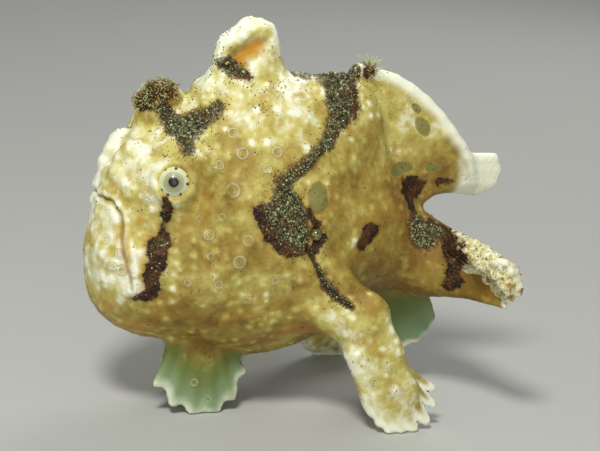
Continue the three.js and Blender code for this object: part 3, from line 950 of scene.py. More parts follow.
PALE_BASE = 0.34
PALE_ZONES = {
    "top": 0.36,
    "face": 0.42,
    "arm": 0.26,
    "hand": 0.2,
    "crown": 0.3,
    "low": -0.16,
    "rear": -0.14,
    "tail": -0.25,
    "sail": 0.3,
    "lip": 0.25,
    "corner": 0.5,
    "bone": 0.25,
}  # what each part of the body adds to the base; the top zone is a painted highlight on upward-facing skin high up, and the low zone darkens the lower body, partly its own ochre and partly painted shade
LID_PALE = 0.55
VALLEY = [(-22.6, 79.4, 0), (-18, 83.6, 0)]  # the third spine's hollow side
STAIN_AND_SHADE_BANDS = [
    (0.45, 1.3, [(-43.4, 43, 0), (-44, 32, 0)]),
    (0.5, 1.8, [(-48, 44, 0), (-46.6, 36, 0)]),
]  # strength and reach of orange along stops (x, z, 0): a streak behind the upper jaw's bone, then painted shadow in front of it
STAIN_AND_SHADE_SPOTS = [(0.9, 1.3, 1, (-44.5, 46.4)), (0.5, 4.2, 1.4, (-32.8, 51.4))]
# strength, reach, height against width, and place (x, z) of the round ones; the one behind the eye
# is painted shade on the back of the eye's cone


def tail_crust(vertices):
    """Where the flaky white crust lies on the tail fin's rolled edge."""
    chains = (TAIL_ROLL, TAIL_RIM, TAIL_CRUST)
    gap = np.min([chain_distance(vertices, chain) for chain in chains], axis=0)
    return smooth_step(-gap - 0.7 * soft_noise(vertices, 1.5, 3), -1.2, -0.5)


def body_zones(vertices, normals, mouth):
    """How much each vertex belongs to each part of the body."""
    x, y, z = vertices.T
    # top: skin that faces upward high on the body, which the pale tone lightens as a painted
    # highlight
    top = smooth_step(normals[:, 2], -0.2, 0.8) * smooth_step(z, 50, 70)
    arm = smooth_step(np.abs(y), 16.5, 20.5) * smooth_step(-z, -34, -26)
    return {
        "top": top,
        "face": smooth_step(-x, 36, 50) * smooth_step(z, 20, 36),
        "arm": arm,
        "hand": arm * smooth_step(-z, -26, -8),
        "crown": smooth_step(z, 72, 84),
        # low: the lower body, darker partly in its own ochre and partly as painted shade
        "low": smooth_step(-z, -34, -20) * (1 - arm),
        "rear": smooth_step(x, -8, 4) * (1 - arm) * (1 - top),
        "tail": smooth_step(x, 10, 20) * smooth_step(-z, -48, -40),
        "sail": smooth_step(x, 8, 18) * smooth_step(z, 56, 68),
        "lip": hump(mouth - 1.2, 0.9) * smooth_step(z, 44, 48),
        "corner": hump(np.hypot(x + 44.6, z - 31.6), 2.2),
        "bone": hump(band(x, z, [(-46.2, 42, 0), (-44.6, 32, 0)]), 0.8),
    }


def stain_and_shade_marks(vertices, low, rolled):
    x, y, z = vertices.T
    stain_and_shade = 1.2 * hump(band(x, z, VALLEY), 2.8) * (np.abs(y) > 1)
    for strength, reach, stops in STAIN_AND_SHADE_BANDS:
        stain_and_shade = np.maximum(stain_and_shade, strength * hump(band(x, z, stops), reach))
    for strength, reach, high, (x0, z0) in STAIN_AND_SHADE_SPOTS:
        stain_and_shade = np.maximum(stain_and_shade, strength * hump(np.hypot(x - x0, (z - z0) / high), reach))
    belly = 0.4 * low * smooth_step(soft_noise(vertices, 5, 16), 0, 0.6) * (x < 8)
    tail_end = rolled * smooth_step(soft_noise(vertices, 1.3, 6), 0.2, 0.5) * (x > 34)
    return np.max([stain_and_shade, belly, tail_end], axis=0)


def growth_masks(vertices, zones, marks):
    """How densely sand, pebbles, dark specks and both growths of algae stand at each vertex."""
    x, y, z = vertices.T
    crust, brown, rolled = marks["crust"], marks["brown"], marks["rolled"]
    patchy = smooth_step(soft_noise(vertices, 4, 7), -0.3, 0.4)
    ragged = crust + 0.9 * soft_noise(vertices, 1.8, 14)
    clumped = lerp(0.35, 1.25, smooth_step(soft_noise(vertices, 2.4, 18), -0.5, 0.3))
    sand = smooth_step(-ragged, -1.0, 0.8) * clumped
    sand = sand + 0.35 * smooth_step(-brown, -0.2, 0.8) * (z < 60) * patchy
    sand += 0.6 * smooth_step(-marks["crease"], -0.6, 0.2) * smooth_step(-z, -38, -32)
    pebbles = smooth_step(-crust, 0.0, 0.8) * smooth_step(soft_noise(vertices, 3.4, 15), -0.1, 0.5)
    on_spine = (z > 75) * (x < -18)
    pebbles = np.maximum(pebbles, smooth_step(-crust, -0.3, 0.4) * on_spine)
    clustered = smooth_step(soft_noise(vertices, 2.2, 17), -0.1, 0.5) * patchy
    specks = 0.04 + 1.9 * zones["top"] * clustered
    specks += 1.5 * smooth_step(-x, 34, 44) * smooth_step(z, 53, 58) * clustered
    specks += 0.5 * zones["arm"] * clustered * smooth_step(z, 22, 30)
    specks += 0.8 * hump(np.minimum(crust, 4), 3.8) + 0.5 * rolled
    specks *= 1 - 0.85 * smooth_step(marks["reach"], 0.25, 0.55) * (1 - rolled)
    return {
        "sand": np.clip(sand, 0, 1.3),
        "pebbles": pebbles,
        "specks": specks,
        "fuzz": smooth_step(-marking(vertices, TOP_BROWN[:1]), -0.6, 0.6) * (z > 69),
        "sprig": hump(np.hypot(x - 9.6, z - 78), 1.3) * (z > 77),
    }


def skin_marks(vertices, normals, sheets, spots):
    """Every value that the skin's material and the sand and algae on it read from the surface."""
    x, y, z = vertices.T
    eyes = [np.linalg.norm(vertices - eye_middle(side), axis=1) for side in SIDES.values()]
    marks = {
        "pore": nearest_pore(vertices, spots),
        "rolled": tail_crust(vertices),
        "crust": marking(vertices, BACK_CRUST + SPINE_CRUST, LEFT_CRUST, RIGHT_CRUST),
        "brown": marking(vertices, TOP_BROWN, LEFT_BROWN, RIGHT_BROWN),
        "crease": np.where(np.abs(y) > 13, band(x, z, CREASE), FAR),
        "mouth": np.where(x < -40.5, band(x, z, GAPE), FAR),
        "oval": oval_marks(vertices),
        "eye_ring": np.min(eyes, axis=0),
    }
    marks["reach"], marks["green"], marks["white"] = fin_marks(vertices, sheets)
    zones = body_zones(vertices, normals, marks["mouth"])
    # The pale tone holds a painted highlight on the top and painted shade low down, besides the
    # skin's own paler and darker parts.
    pale = PALE_BASE + sum(share * zones[name] for name, share in PALE_ZONES.items())
    marks["pale"] = np.maximum(pale, LID_PALE * hump(marks["eye_ring"] - 5.2, 1.6))
    marks["stain_and_shade"] = stain_and_shade_marks(vertices, zones["low"], marks["rolled"])
    return {**marks, **growth_masks(vertices, zones, marks)}


def raise_relief(vertices, quads, marks, settings):
    """Moves the vertices along their normals: warts, ring pores, folds and the mouth's groove."""
    normals = vertex_normals(vertices, quads)
    x, y, z = vertices.T
    smooth = np.clip(marks["white"] + smooth_step(marks["reach"], 0.1, 0.6) * 0.75, 0, 1)
    rough = (1 - smooth) * smooth_step(marks["eye_ring"], 4.8, 7)
    warts = wart_heights(vertices, settings.wart_spacing / MM, 3)
    lumps = wart_heights(vertices, 2.1 * settings.wart_spacing / MM, 8)
    patch = 0.75 + 0.45 * soft_noise(vertices, 9, 2)
    head = smooth_step(-x, -4, 8)
    high = smooth_step(z, 26, 52)
    height = settings.wart_height / MM * warts * patch
    height = height * lerp(0.4, 1, head) * lerp(0.5, 1, high) * rough
    height += 0.8 * lumps * lerp(0.3, 1.0, head) * lerp(0.7, 1, high) * rough
    height += 0.5 * soft_noise(vertices, 7, 5) * rough
    flakes = 0.5 * soft_noise(vertices, 1.3, 12) + 0.35 * soft_noise(vertices, 0.8, 13)
    height += marks["rolled"] * flakes
    height += 0.2 * hump(marks["pore"] - 1, 0.45) - 0.2 * hump(marks["pore"], 0.7)
    height += 0.25 * hump(marks["mouth"] - 1.2, 1.0) * smooth_step(z, 42, 47)
    height -= lerp(0.35, 0.6, smooth_step(z, 40, 47)) * hump(marks["mouth"], 0.6)
    height -= 1.1 * smooth_step(-marks["crease"], -0.9, 0.3)
    crusted = smooth_step(-marks["crust"], -0.4, 0.5)
    gritty = np.maximum(crusted, 0.5 * smooth_step(-marks["brown"], -0.3, 0.4))
    height += 0.35 * gritty * (0.6 + soft_noise(vertices, 1.1, 9))
    height = np.where(z < 0.4, 0, height)
    return vertices + normals * height[:, None], np.clip(warts * patch * rough, 0, 1)


# Meshes


def linked(name, data):
    """Puts a new object into the scene."""
    piece = bpy.data.objects.new(name, data)
    bpy.context.scene.collection.objects.link(piece)
    return piece


def new_object(name, vertices, faces):
    """A smooth mesh object from places in the fish's own frame."""
    mesh = bpy.data.meshes.new(name)
    mesh.from_pydata(to_frame(vertices).tolist(), [], [list(map(int, face)) for face in faces])
    mesh.update()
    mesh.polygons.foreach_set("use_smooth", np.full(len(mesh.polygons), True))
    return linked(name, mesh)


def circle(around):
    return np.linspace(0, 2 * math.pi, around, endpoint=False)


def tube_faces(rings, around):
    """Quads between rings of points, each ring around points long."""
    faces = []
    for ring in range(rings - 1):
        for k in range(around):
            a, b = ring * around + k, ring * around + (k + 1) % around
            faces.append((a, b, b + around, a + around))
    return faces


def ball_faces(rings, around):
    """The same, closed by one point before the first ring and one behind the last."""
    front, last = rings * around, (rings - 1) * around
    sides = [(k, (k + 1) % around) for k in range(around)]
    ends = [(front, b, a) for a, b in sides] + [(front + 1, last + a, last + b) for a, b in sides]
    return tube_faces(rings, around) + ends


def store(mesh, name, values):
    """Keeps a number or a vector for each vertex, under a name that materials and trees read."""
    values = np.asarray(values, np.float32)
    kind, field = ("FLOAT_VECTOR", "vector") if values.ndim == 2 else ("FLOAT", "value")
    mesh.attributes.new(name, kind, "POINT").data.foreach_set(field, values.ravel())


def body_unwrap(points):
    """A place on the fish's own unwrap: the angle round its long axis, and the way along it."""
    x, y, z = (np.asarray(points) / MM - HOME).T
    round_body = np.arctan2(y, z - 42) / (2 * math.pi) + 0.5
    return np.stack([round_body * 0.98 + 0.01, (x + 56) / 108], axis=1)


def add_patch_map(mesh, per_island):
    """The OFBake map: each tuft or grain is a small patch at its root's place on the unwrap."""
    places = np.zeros(len(mesh.vertices) * 3, np.float32)
    mesh.vertices.foreach_get("co", places)
    islands = places.reshape(-1, per_island, 3)
    middles = islands.mean(1, keepdims=True)
    roots = np.repeat(body_unwrap(middles[:, 0]), per_island, axis=0)
    spread = islands - middles
    size = np.abs(spread).max((1, 2), keepdims=True)
    own = (spread / np.maximum(size, 1e-9)).reshape(-1, 3)[:, :2] * PATCH / 2
    corners = np.zeros(len(mesh.loops), np.int32)
    mesh.loops.foreach_get("vertex_index", corners)
    layer = mesh.uv_layers.new(name="OFBake")
    layer.data.foreach_set("uv", (roots + own)[corners].astype(np.float32).ravel())


# Nodes


class Term:
    """A node's output that can be added, multiplied and so on; each sum is a node of its own."""

    def __init__(self, graph, socket):
        self.graph = graph
        self.socket = socket

    def output(self, name):
        return Term(self.graph, self.socket.node.outputs[name])

    def __add__(self, other):
        return self.graph.math("ADD", self, other)

    def __sub__(self, other):
        return self.graph.math("SUBTRACT", self, other)

    def __rsub__(self, other):
        return self.graph.math("SUBTRACT", other, self)

    def __mul__(self, other):
        return self.graph.math("MULTIPLY", self, other)

    def __truediv__(self, other):
        return self.graph.math("DIVIDE", self, other)

    def __abs__(self):
        return self.graph.math("ABSOLUTE", self)

    __radd__ = __add__
    __rmul__ = __mul__


class Graph:
    """Short calls that add nodes to a tree and join them."""

    def __init__(self, tree):
        self.tree = tree

    def put(self, socket, value):
        if isinstance(value, Term):
            self.tree.links.new(value.socket, socket)
        elif value is not None:
            if socket.type == "RGBA" and len(value) == 3:
                value = (*value, 1)
            socket.default_value = value

    def node(self, kind, inputs, output=0, **settings):
        made = self.tree.nodes.new(kind)
        for name, value in settings.items():
            setattr(made, name, value)
        for name, value in inputs.items():
            self.put(made.inputs[name], value)
        return Term(self, made.outputs[output])

    def math(self, operation, a, b=None):
        return self.node("ShaderNodeMath", {0: a, 1: b}, operation=operation)


# Materials


class Shader(Graph):
    """A material with one Principled shader, and short calls for the nodes before it."""

    def __init__(self, name, **settings):
        self.material = bpy.data.materials.new(name)
        self.material.use_nodes = True
        super().__init__(self.material.node_tree)
        self.principled = self.tree.nodes["Principled BSDF"]
        for socket, value in settings.items():
            self.principled.inputs[socket.replace("_", " ")].default_value = value

    def attribute(self, name, output="Fac"):
        return self.node("ShaderNodeAttribute", {}, output, attribute_name=name)

    def place(self):
        """Object coordinates in millimetres."""
        coordinates = self.node("ShaderNodeTexCoord", {}, "Object")
        return self.node("ShaderNodeMapping", {"Vector": coordinates, "Scale": (1 / MM,) * 3})

    def noise(self, size, detail=4.0):
        """Noise whose features are about size millimetres across."""
        inputs = {"Vector": self.place(), "Scale": 1 / size, "Detail": detail, "Roughness": 0.6}
        return self.node("ShaderNodeTexNoise", inputs, "Fac")

    def cells(self, size, output="Distance"):
        inputs = {"Vector": self.place(), "Scale": 1 / size}
        return self.node("ShaderNodeTexVoronoi", inputs, output)

    def step(self, value, low, high):
        """0 below low and 1 above high, smooth between them; low may be the larger."""
        inputs = {"Value": value, "From Min": low, "From Max": high}
        return self.node("ShaderNodeMapRange", inputs, interpolation_type="SMOOTHSTEP")

    def mix(self, share, a, b, blend="MIX"):
        inputs = {0: share, 6: a, 7: b}
        return self.node("ShaderNodeMix", inputs, 2, data_type="RGBA", blend_type=blend)

    def layers(self, colour, *coats):
        """Lays each (share, tint) over the colour."""
        for share, tint in coats:
            colour = self.mix(share, colour, tint)
        return colour

    def rings(self, colour, radius, core, rows):
        """Draws each ring (radius, half width, share, tint); its core keeps the full share."""
        for place, width, share, tint in rows:
            line = self.step(abs(radius - place), width, core * width)
            colour = self.mix(line * share, colour, tint)
        return colour

    def ramp(self, value, stops):
        made = self.node("ShaderNodeValToRGB", {"Fac": value})
        elements = made.socket.node.color_ramp.elements
        while len(elements) < len(stops):
            elements.new(0.5)
        for element, (place, colour) in zip(elements, stops):
            element.position = place
            element.color = (*colour, 1)
        return made

    def bump(self, height, strength, distance, normal=None):
        inputs = {"Height": height, "Strength": strength, "Distance": distance * MM}
        return self.node("ShaderNodeBump", {**inputs, "Normal": normal})

    def finish(self, colour, roughness=None, normal=None):
        for name, value in (("Base Color", colour), ("Roughness", roughness), ("Normal", normal)):
            self.put(self.principled.inputs[name], value)
        return self.material


FIN_FRINGE = (0.23, 0.37, 0.21)
CRUST_TONES = [
    (0.0, (0.020, 0.014, 0.006)),
    (0.4, (0.060, 0.048, 0.020)),
    (0.66, (0.12, 0.12, 0.050)),
    (0.88, (0.24, 0.27, 0.12)),
    (1.0, (0.46, 0.50, 0.28)),
]
GRAIN_TONES = [
    (0.0, (0.012, 0.009, 0.005)),
    (0.35, (0.060, 0.042, 0.016)),
    (0.6, (0.16, 0.16, 0.065)),
    (0.85, (0.36, 0.41, 0.18)),
    (1.0, (0.72, 0.78, 0.48)),
]
SPECK_TONES = [(0.0, (0.014, 0.010, 0.005)), (0.5, (0.07, 0.045, 0.014)), (1.0, (0.28, 0.20, 0.06))]
ALGAE_TONES = [
    (0.0, (0.10, 0.022, 0.010)),
    (0.5, (0.26, 0.075, 0.020)),
    (0.8, (0.36, 0.24, 0.06)),
    (1.0, (0.50, 0.55, 0.24)),
]
ALGAE_TIP = (0.60, 0.68, 0.30)
GRIME = (0.02, 0.015, 0.01)
IRIS_GREY, IRIS_PALE = (0.30, 0.35, 0.20), (0.52, 0.58, 0.38)
IRIS_RINGS = [
    (1.4, 0.35, 0.8, (0.30, 0.27, 0.05)),
    (1.95, 0.12, 0.3, (0.22, 0.26, 0.14)),
    (2.2, 0.12, 0.25, (0.75, 0.82, 0.66)),
    (2.5, 0.35, 0.5, (0.84, 0.90, 0.72)),
]  # radius in millimetres, half width, share and tint
EYE_SKIN, EYE_SKIN_PALE = (0.58, 0.54, 0.20), (0.86, 0.88, 0.60)
EYE_DOT = (0.05, 0.028, 0.012)
PUPIL = (0.010, 0.002, 0.006)
BEAD_DARK, BEAD_PAINTED_GLINT = (0.07, 0.09, 0.03), (0.46, 0.46, 0.13)


def skin_material(colours):
    """Cream over ochre, with brown and crusted blotches, green ovals, pores and white edges;
    painted shade darkens the hollows, folds, mouth, lower fins and lower body, and a painted
    highlight lightens the top.
    """
    shader = Shader(
        "frogfish_skin",
        Subsurface_Weight=0.12,
        Subsurface_Scale=1.6 * MM,
        Coat_Weight=0.05,
        Coat_Roughness=0.28,
        Specular_IOR_Level=0.28,
        Subsurface_Radius=(1.0, 0.6, 0.35),
    )
    attribute, noise, cells = shader.attribute, shader.noise, shader.cells
    step, mix = shader.step, shader.mix
    fine, medium, broad = noise(0.8, 5), noise(2.6), noise(9, 3)
    ragged = 3.2 * (medium - 0.5) + 1.6 * (fine - 0.5)

    # Wart tops are paler and the hollows between them ochre: partly the warts' own colour, partly
    # painted shade in the hollows.
    tone = attribute("pale") + 0.6 * attribute("wart") + 1.35 * (broad - 0.5) + 0.8 * (medium - 0.5)
    places = (0, 0.3, 0.62, 0.95)
    tones = (colours.deep_ochre, colours.ochre, colours.cream, colours.white)
    stain_and_shade, rolled = attribute("stain_and_shade"), attribute("rolled")
    # The lower fins' dark green, partly painted shade, pales towards their fringe.
    green = mix(step(attribute("reach"), 0.45, 1.0), colours.pale_green, FIN_FRINGE)
    flaky = mix(step(fine, 0.4, 0.6), colours.cream, colours.white)
    colour = shader.layers(
        shader.ramp(tone, list(zip(places, tones))),
        # Russet lies only where the tone is dark, mottling the skin and deepening the painted shade
        # in the hollows.
        (0.5 * step(noise(5.5), 0.46, 0.68) * step(tone, 1.0, 0.5), colours.russet),
        (0.85 * stain_and_shade, colours.orange),
        (0.88 * attribute("green"), green),
        (0.9 * step(rolled + 0.25 * ragged, 0.3, 0.6), flaky),
        (attribute("white"), colours.white),
        (stain_and_shade * rolled, colours.russet),
    )

    pore, broken = attribute("pore"), step(medium, 0.3, 0.55)
    rows = [
        (0.95, 0.4, 0.22 * broken, colours.white),
        (1.2, 0.2, 0.55 * broken, colours.pore),
        (0.7, 0.16, 0.6 * broken, colours.pore),
    ]
    colour = shader.rings(colour, pore, 0.3, rows)

    oval = attribute("oval") + 0.1 * ragged
    brown = attribute("brown") + 0.95 * ragged
    browned = step(brown, 0.35, -0.1)
    crust = attribute("crust") + ragged
    crusted = step(crust, 0.35, -0.3)
    grains = cells(0.42, "Color")
    grain_tone = shader.node("ShaderNodeSeparateColor", {"Color": grains}, "Red")
    rusty = 0.8 * step(noise(3.4, 3), 0.46, 0.6)
    colour = shader.layers(
        colour,
        (0.6 * step(pore, 0.3, 0.15), colours.pore),
        (0.2 * step(oval, 1.4, 1.1), colours.cream),
        (0.65 * step(oval, 1.14, 1.02), colours.deep_ochre),
        (0.7 * step(oval, 0.98, 0.82), colours.grey_green),
        (0.8 * step(oval, 1.0, 0.9) * step(cells(1.0), 0.22, 0.14), colours.dark_brown),
        (0.5 * step(brown, 1.3, 0.2), colours.deep_ochre),
        (browned, mix(step(medium, 0.42, 0.6), colours.dark_brown, colours.red_brown)),
        (0.7 * step(crust, 1.0, 0.4), colours.red_brown),
        (crusted, mix(rusty, shader.ramp(grain_tone, CRUST_TONES), colours.red_brown)),
        # painted shade in the fold above the arm
        (0.9 * step(attribute("crease") + 0.3 * ragged, 0.6, 0.0), colours.dark_brown),
        # painted shade in the mouth's groove
        (0.55 * step(attribute("mouth"), 0.5, 0.1), colours.deep_ochre),
    )

    normal = shader.bump(fine + 0.6 * cells(0.9), 0.4, 0.3)
    gritty = cells(0.55) * shader.math("MAXIMUM", crusted, browned)
    normal = shader.bump(gritty, 0.9, 0.4, normal)
    return shader.finish(colour, 0.4 * step(fine + crusted, 0.2, 1.4) + 0.42, normal)


def sand_material():
    shader = Shader("sand_grain", Specular_IOR_Level=0.5)
    tone = shader.attribute("tone")
    colour = shader.mix(shader.noise(0.15, 2), shader.ramp(tone, GRAIN_TONES), GRIME, "SOFT_LIGHT")
    return shader.finish(colour, 0.6 - 0.3 * tone)


def speck_material():
    shader = Shader("dark_sand_speck", Specular_IOR_Level=0.4)
    colour = shader.ramp(shader.attribute("tone"), SPECK_TONES)
    return shader.finish(colour, 0.3 * shader.noise(0.2, 2) + 0.4)


def algae_material(name, brown_share):
    """Reddish filaments with yellow-green tips, in clumps."""
    shader = Shader(name, Subsurface_Weight=0.1, Subsurface_Scale=0.4 * MM)
    clump = shader.step(shader.noise(1.7, 2), brown_share - 0.08, brown_share + 0.08)
    tips = shader.step(shader.attribute("along"), 0.2, 0.8) * clump
    colour = shader.mix(tips, shader.ramp(shader.attribute("tone"), ALGAE_TONES), ALGAE_TIP)
    return shader.finish(colour, 0.3 * shader.noise(0.3, 2) + 0.4)


def eye_material():
    """A pale mottled iris with rings, a dark pupil and a white rim, under a wet clear coat."""
    shader = Shader("frogfish_eye", Coat_Weight=0.3, Coat_Roughness=0.06, Roughness=0.4)
    noise, step, mix = shader.noise, shader.step, shader.mix
    spot = shader.attribute("iris", "Vector")
    radius = shader.node("ShaderNodeVectorMath", {0: spot}, "Value", operation="LENGTH")
    edge = radius + 0.5 * (noise(1.3, 2) - 0.5)
    iris = shader.rings(mix(noise(0.9), IRIS_GREY, IRIS_PALE), edge, 0.2, IRIS_RINGS)
    colour = shader.layers(
        iris,
        (step(edge, 2.15, 2.6), mix(noise(1.2), EYE_SKIN, EYE_SKIN_PALE)),
        (shader.attribute("dots"), EYE_DOT),
        (step(edge, 1.2, 1.02), PUPIL),
    )
    return shader.finish(colour, normal=shader.bump(noise(0.5, 3), 0.15, 0.1))


def rod_material(colours):
    shader = Shader("fishing_rod", Subsurface_Weight=0.15, Subsurface_Scale=0.6 * MM)
    stripe = shader.step(shader.noise(1.2, 3), 0.42, 0.6)
    colour = shader.mix(stripe, colours.cream, colours.pale_green)
    return shader.finish(colour, 0.15 * stripe + 0.4, shader.bump(shader.noise(0.4), 0.3, 0.1))


def bead_material():
    shader = Shader(
        "clear_bead", Roughness=0.08, IOR=1.45, Transmission_Weight=0.35, Coat_Weight=1.0
    )
    # Bright yellow patches over the dark body are a painted highlight, standing for the bead's
    # glints.
    return shader.finish(
        shader.mix(shader.step(shader.noise(0.9, 3), 0.4, 0.65), BEAD_DARK, BEAD_PAINTED_GLINT)
    )


def floor_material(colour):
    shader = Shader("pale_floor", Roughness=0.8)
    return shader.finish(shader.mix(shader.noise(60, 3), colour, [0.96 * c for c in colour]))


# Geometry Nodes


class GeometryTree(Graph):
    """A Geometry Nodes tree that grows small things on a mesh, with its measures as inputs."""

    def __init__(self, name, *measures):
        super().__init__(bpy.data.node_groups.new(name, "GeometryNodeTree"))
        interface = self.tree.interface
        for way in ("INPUT", "OUTPUT"):
            interface.new_socket("Geometry", in_out=way, socket_type="NodeSocketGeometry")
        kinds = {**dict.fromkeys(("Density", *measures), "Float"), "Mask": "String", "Seed": "Int"}
        for label, kind in {**kinds, "Material": "Material"}.items():
            interface.new_socket(label, in_out="INPUT", socket_type="NodeSocket" + kind)
        self.start = self.node("NodeGroupInput", {}, "Geometry")
        self.end = self.tree.nodes.new("NodeGroupOutput")
        self.points = self.scattered()

    def given(self, name):
        return self.start.output(name)

    def attribute(self, name):
        return self.node("GeometryNodeInputNamedAttribute", {"Name": name}, data_type="FLOAT")

    def scattered(self):
        """Points on the mesh, as dense as the named mask says."""
        inputs = {
            "Mesh": self.start,
            "Density": self.attribute(self.given("Mask")) * self.given("Density"),
            "Seed": self.given("Seed"),
        }
        return self.node("GeometryNodeDistributePointsOnFaces", inputs, distribute_method="RANDOM")

    def random(self, low, high, seed, kind="FLOAT"):
        made = self.tree.nodes.new("FunctionNodeRandomValue")
        made.data_type = kind
        self.put(made.inputs["Seed"], seed)
        sockets = [s for s in made.inputs if s.enabled and s.name in ("Min", "Max")]
        for socket, value in zip(sockets, (low, high)):
            self.put(socket, value)
        return Term(self, next(s for s in made.outputs if s.enabled))

    def turned(self, low, high, seed):
        angles = self.random(low, high, seed, "FLOAT_VECTOR")
        return self.node("FunctionNodeEulerToRotation", {0: angles})

    def stored(self, geometry, name, value, domain):
        inputs = {"Geometry": geometry, "Name": name, "Value": value}
        kind = "GeometryNodeStoreNamedAttribute"
        return self.node(kind, inputs, data_type="FLOAT", domain=domain)

    def finish(self, shape, turn, scale, seed):
        """Puts the shape on every point, with a random tone from 0 to 1 for its colour."""
        inputs = {"Points": self.points, "Instance": shape, "Rotation": turn, "Scale": scale}
        placed = self.node("GeometryNodeInstanceOnPoints", inputs)
        toned = self.stored(placed, "tone", self.random(0.0, 1.0, seed), "INSTANCE")
        real = self.node("GeometryNodeRealizeInstances", {"Geometry": toned})
        inputs = {"Geometry": real, "Material": self.given("Material")}
        self.put(self.end.inputs["Geometry"], self.node("GeometryNodeSetMaterial", inputs))
        return self.tree


def grain_tree():
    tree = GeometryTree("Sand grains", "Smallest", "Largest")
    grain = tree.node("GeometryNodeMeshIcoSphere", {"Radius": 1.0, "Subdivisions": 1})
    size = tree.random(tree.given("Smallest"), tree.given("Largest"), 11)
    shape = tree.random((0.75, 0.6, 0.45), (1.15, 1.0, 0.9), 12, "FLOAT_VECTOR")
    scale = tree.node("ShaderNodeVectorMath", {0: shape, "Scale": size}, operation="SCALE")
    turn = tree.turned((0.0, 0.0, 0.0), (6.28, 6.28, 6.28), 13)
    return tree.finish(grain, turn, scale, 14)


def filament_tree():
    tree = GeometryTree("Algae filaments", "Length", "Thickness")
    average = tree.given("Length")
    line = tree.node("GeometryNodeCurvePrimitiveLine", {"Start": (0, 0, -0.15), "End": (0, 0, 1)})
    line = tree.node("GeometryNodeResampleCurve", {"Curve": line, "Count": 6})
    share = tree.node("GeometryNodeSplineParameter", {}, "Factor")
    bend = tree.node("ShaderNodeCombineXYZ", {"X": tree.math("POWER", share, 2.0) * 0.35})
    line = tree.node("GeometryNodeSetPosition", {"Geometry": line, "Offset": bend})
    line = tree.node("GeometryNodeSetCurveRadius", {"Curve": line, "Radius": 1.0 - 0.7 * share})
    line = tree.stored(line, "along", share, "POINT")
    slim = tree.given("Thickness") / average
    ring = tree.node("GeometryNodeCurvePrimitiveCircle", {"Resolution": 4, "Radius": slim})
    inputs = {"Curve": line, "Profile Curve": ring, "Fill Caps": True}
    tube = tree.node("GeometryNodeCurveToMesh", inputs)
    lean = tree.turned((-0.7, -0.7, 0.0), (0.7, 0.7, 6.28), 22)
    inputs = {"Rotation": tree.points.output("Rotation"), "Rotate By": lean}
    turn = tree.node("FunctionNodeRotateRotation", inputs, rotation_space="LOCAL")
    return tree.finish(tube, turn, tree.random(0.5 * average, 1.4 * average, 23), 24)


def grown_piece(name, tree, values):
    """Runs a tree on the skin's mesh and keeps what grows there as a plain mesh object."""
    base = linked(name + "_base", bpy.data.objects["skin"].data)
    modifier = base.modifiers.new(name, "NODES")
    modifier.node_group = tree
    for item in tree.interface.items_tree:
        if item.in_out == "INPUT" and item.name in values:
            modifier[item.identifier] = values[item.name]
    bpy.context.view_layer.update()
    depsgraph = bpy.context.evaluated_depsgraph_get()
    mesh = bpy.data.meshes.new_from_object(base.evaluated_get(depsgraph), depsgraph=depsgraph)
    base.modifiers.remove(modifier)
    bpy.data.objects.remove(base)
    return linked(name, mesh)


# What a user would change


def length_property(name, description, default):
    return FloatProperty(
        name=name, description=description, default=default, subtype="DISTANCE", unit="LENGTH"
    )


def angle_property(name, description, degrees):
    default = math.radians(degrees)
    return FloatProperty(name=name, description=description, default=default, subtype="ANGLE")


def number_property(name, description, default):
    return FloatProperty(name=name, description=description, default=default)


def colour_property(name, description, default):
    return FloatVectorProperty(
        name=name, description=description, default=default, subtype="COLOR", size=3
    )


class FrogfishSkinSettings(bpy.types.PropertyGroup):
    cell: length_property("Mesh Cell", "Edge of the grid that the skin is drawn from", 0.58 * MM)
    wart_spacing: length_property("Wart Spacing", "Distance between the small warts", 2.3 * MM)
    wart_height: length_property("Wart Height", "Height of the small warts", 0.5 * MM)


class FrogfishColourSettings(bpy.types.PropertyGroup):
    white: colour_property("White", "Fin edges, wart tips and the snout", (0.94, 0.96, 0.75))
    cream: colour_property("Cream", "Most of the skin", (0.61, 0.54, 0.16))
    # Ochre and deep ochre fill the hollows between warts and the deepest folds: partly the skin's
    # own ochre, partly painted shade.
    ochre: colour_property("Ochre", "Hollows of the skin", (0.38, 0.285, 0.056))
    deep_ochre: colour_property("Deep Ochre", "Deepest folds", (0.22, 0.125, 0.02))
    # Orange also paints the shadow in front of the upper jaw's bone and the shade behind the eye.
    orange: colour_property("Orange", "Stains on the third spine", (0.56, 0.27, 0.018))
    russet: colour_property("Russet", "Soft patches on the cheek and belly", (0.36, 0.19, 0.025))
    # On the pelvic and anal fins this green is darkened partly as painted shade; the rod's stripes
    # use it too.
    pale_green: colour_property("Pale Green", "Pelvic and anal fins", (0.125, 0.18, 0.04))
    grey_green: colour_property("Grey Green", "Oval spots", (0.20, 0.22, 0.07))
    pore: colour_property("Pore", "Outline of the ring pores", (0.22, 0.17, 0.05))
    dark_brown: colour_property("Dark Brown", "Blotches", (0.028, 0.011, 0.003))
    red_brown: colour_property("Red Brown", "Edges of the blotches", (0.105, 0.040, 0.009))


class FrogfishGrowthSettings(bpy.types.PropertyGroup):
    grain_size: length_property("Grain Size", "Radius of the largest sand grains", 0.27 * MM)
    grain_density: number_property("Grain Density", "Sand grains per square metre", 8.0e6)
    speck_density: number_property("Speck Density", "Dark specks per square metre", 1.3e6)
    filament_length: length_property("Filament Length", "Length of the algae", 1.0 * MM)
    filament_density: number_property("Filament Density", "Filaments per square metre", 7.0e6)
    seed: IntProperty(name="Seed", description="Draws another scatter", default=5)


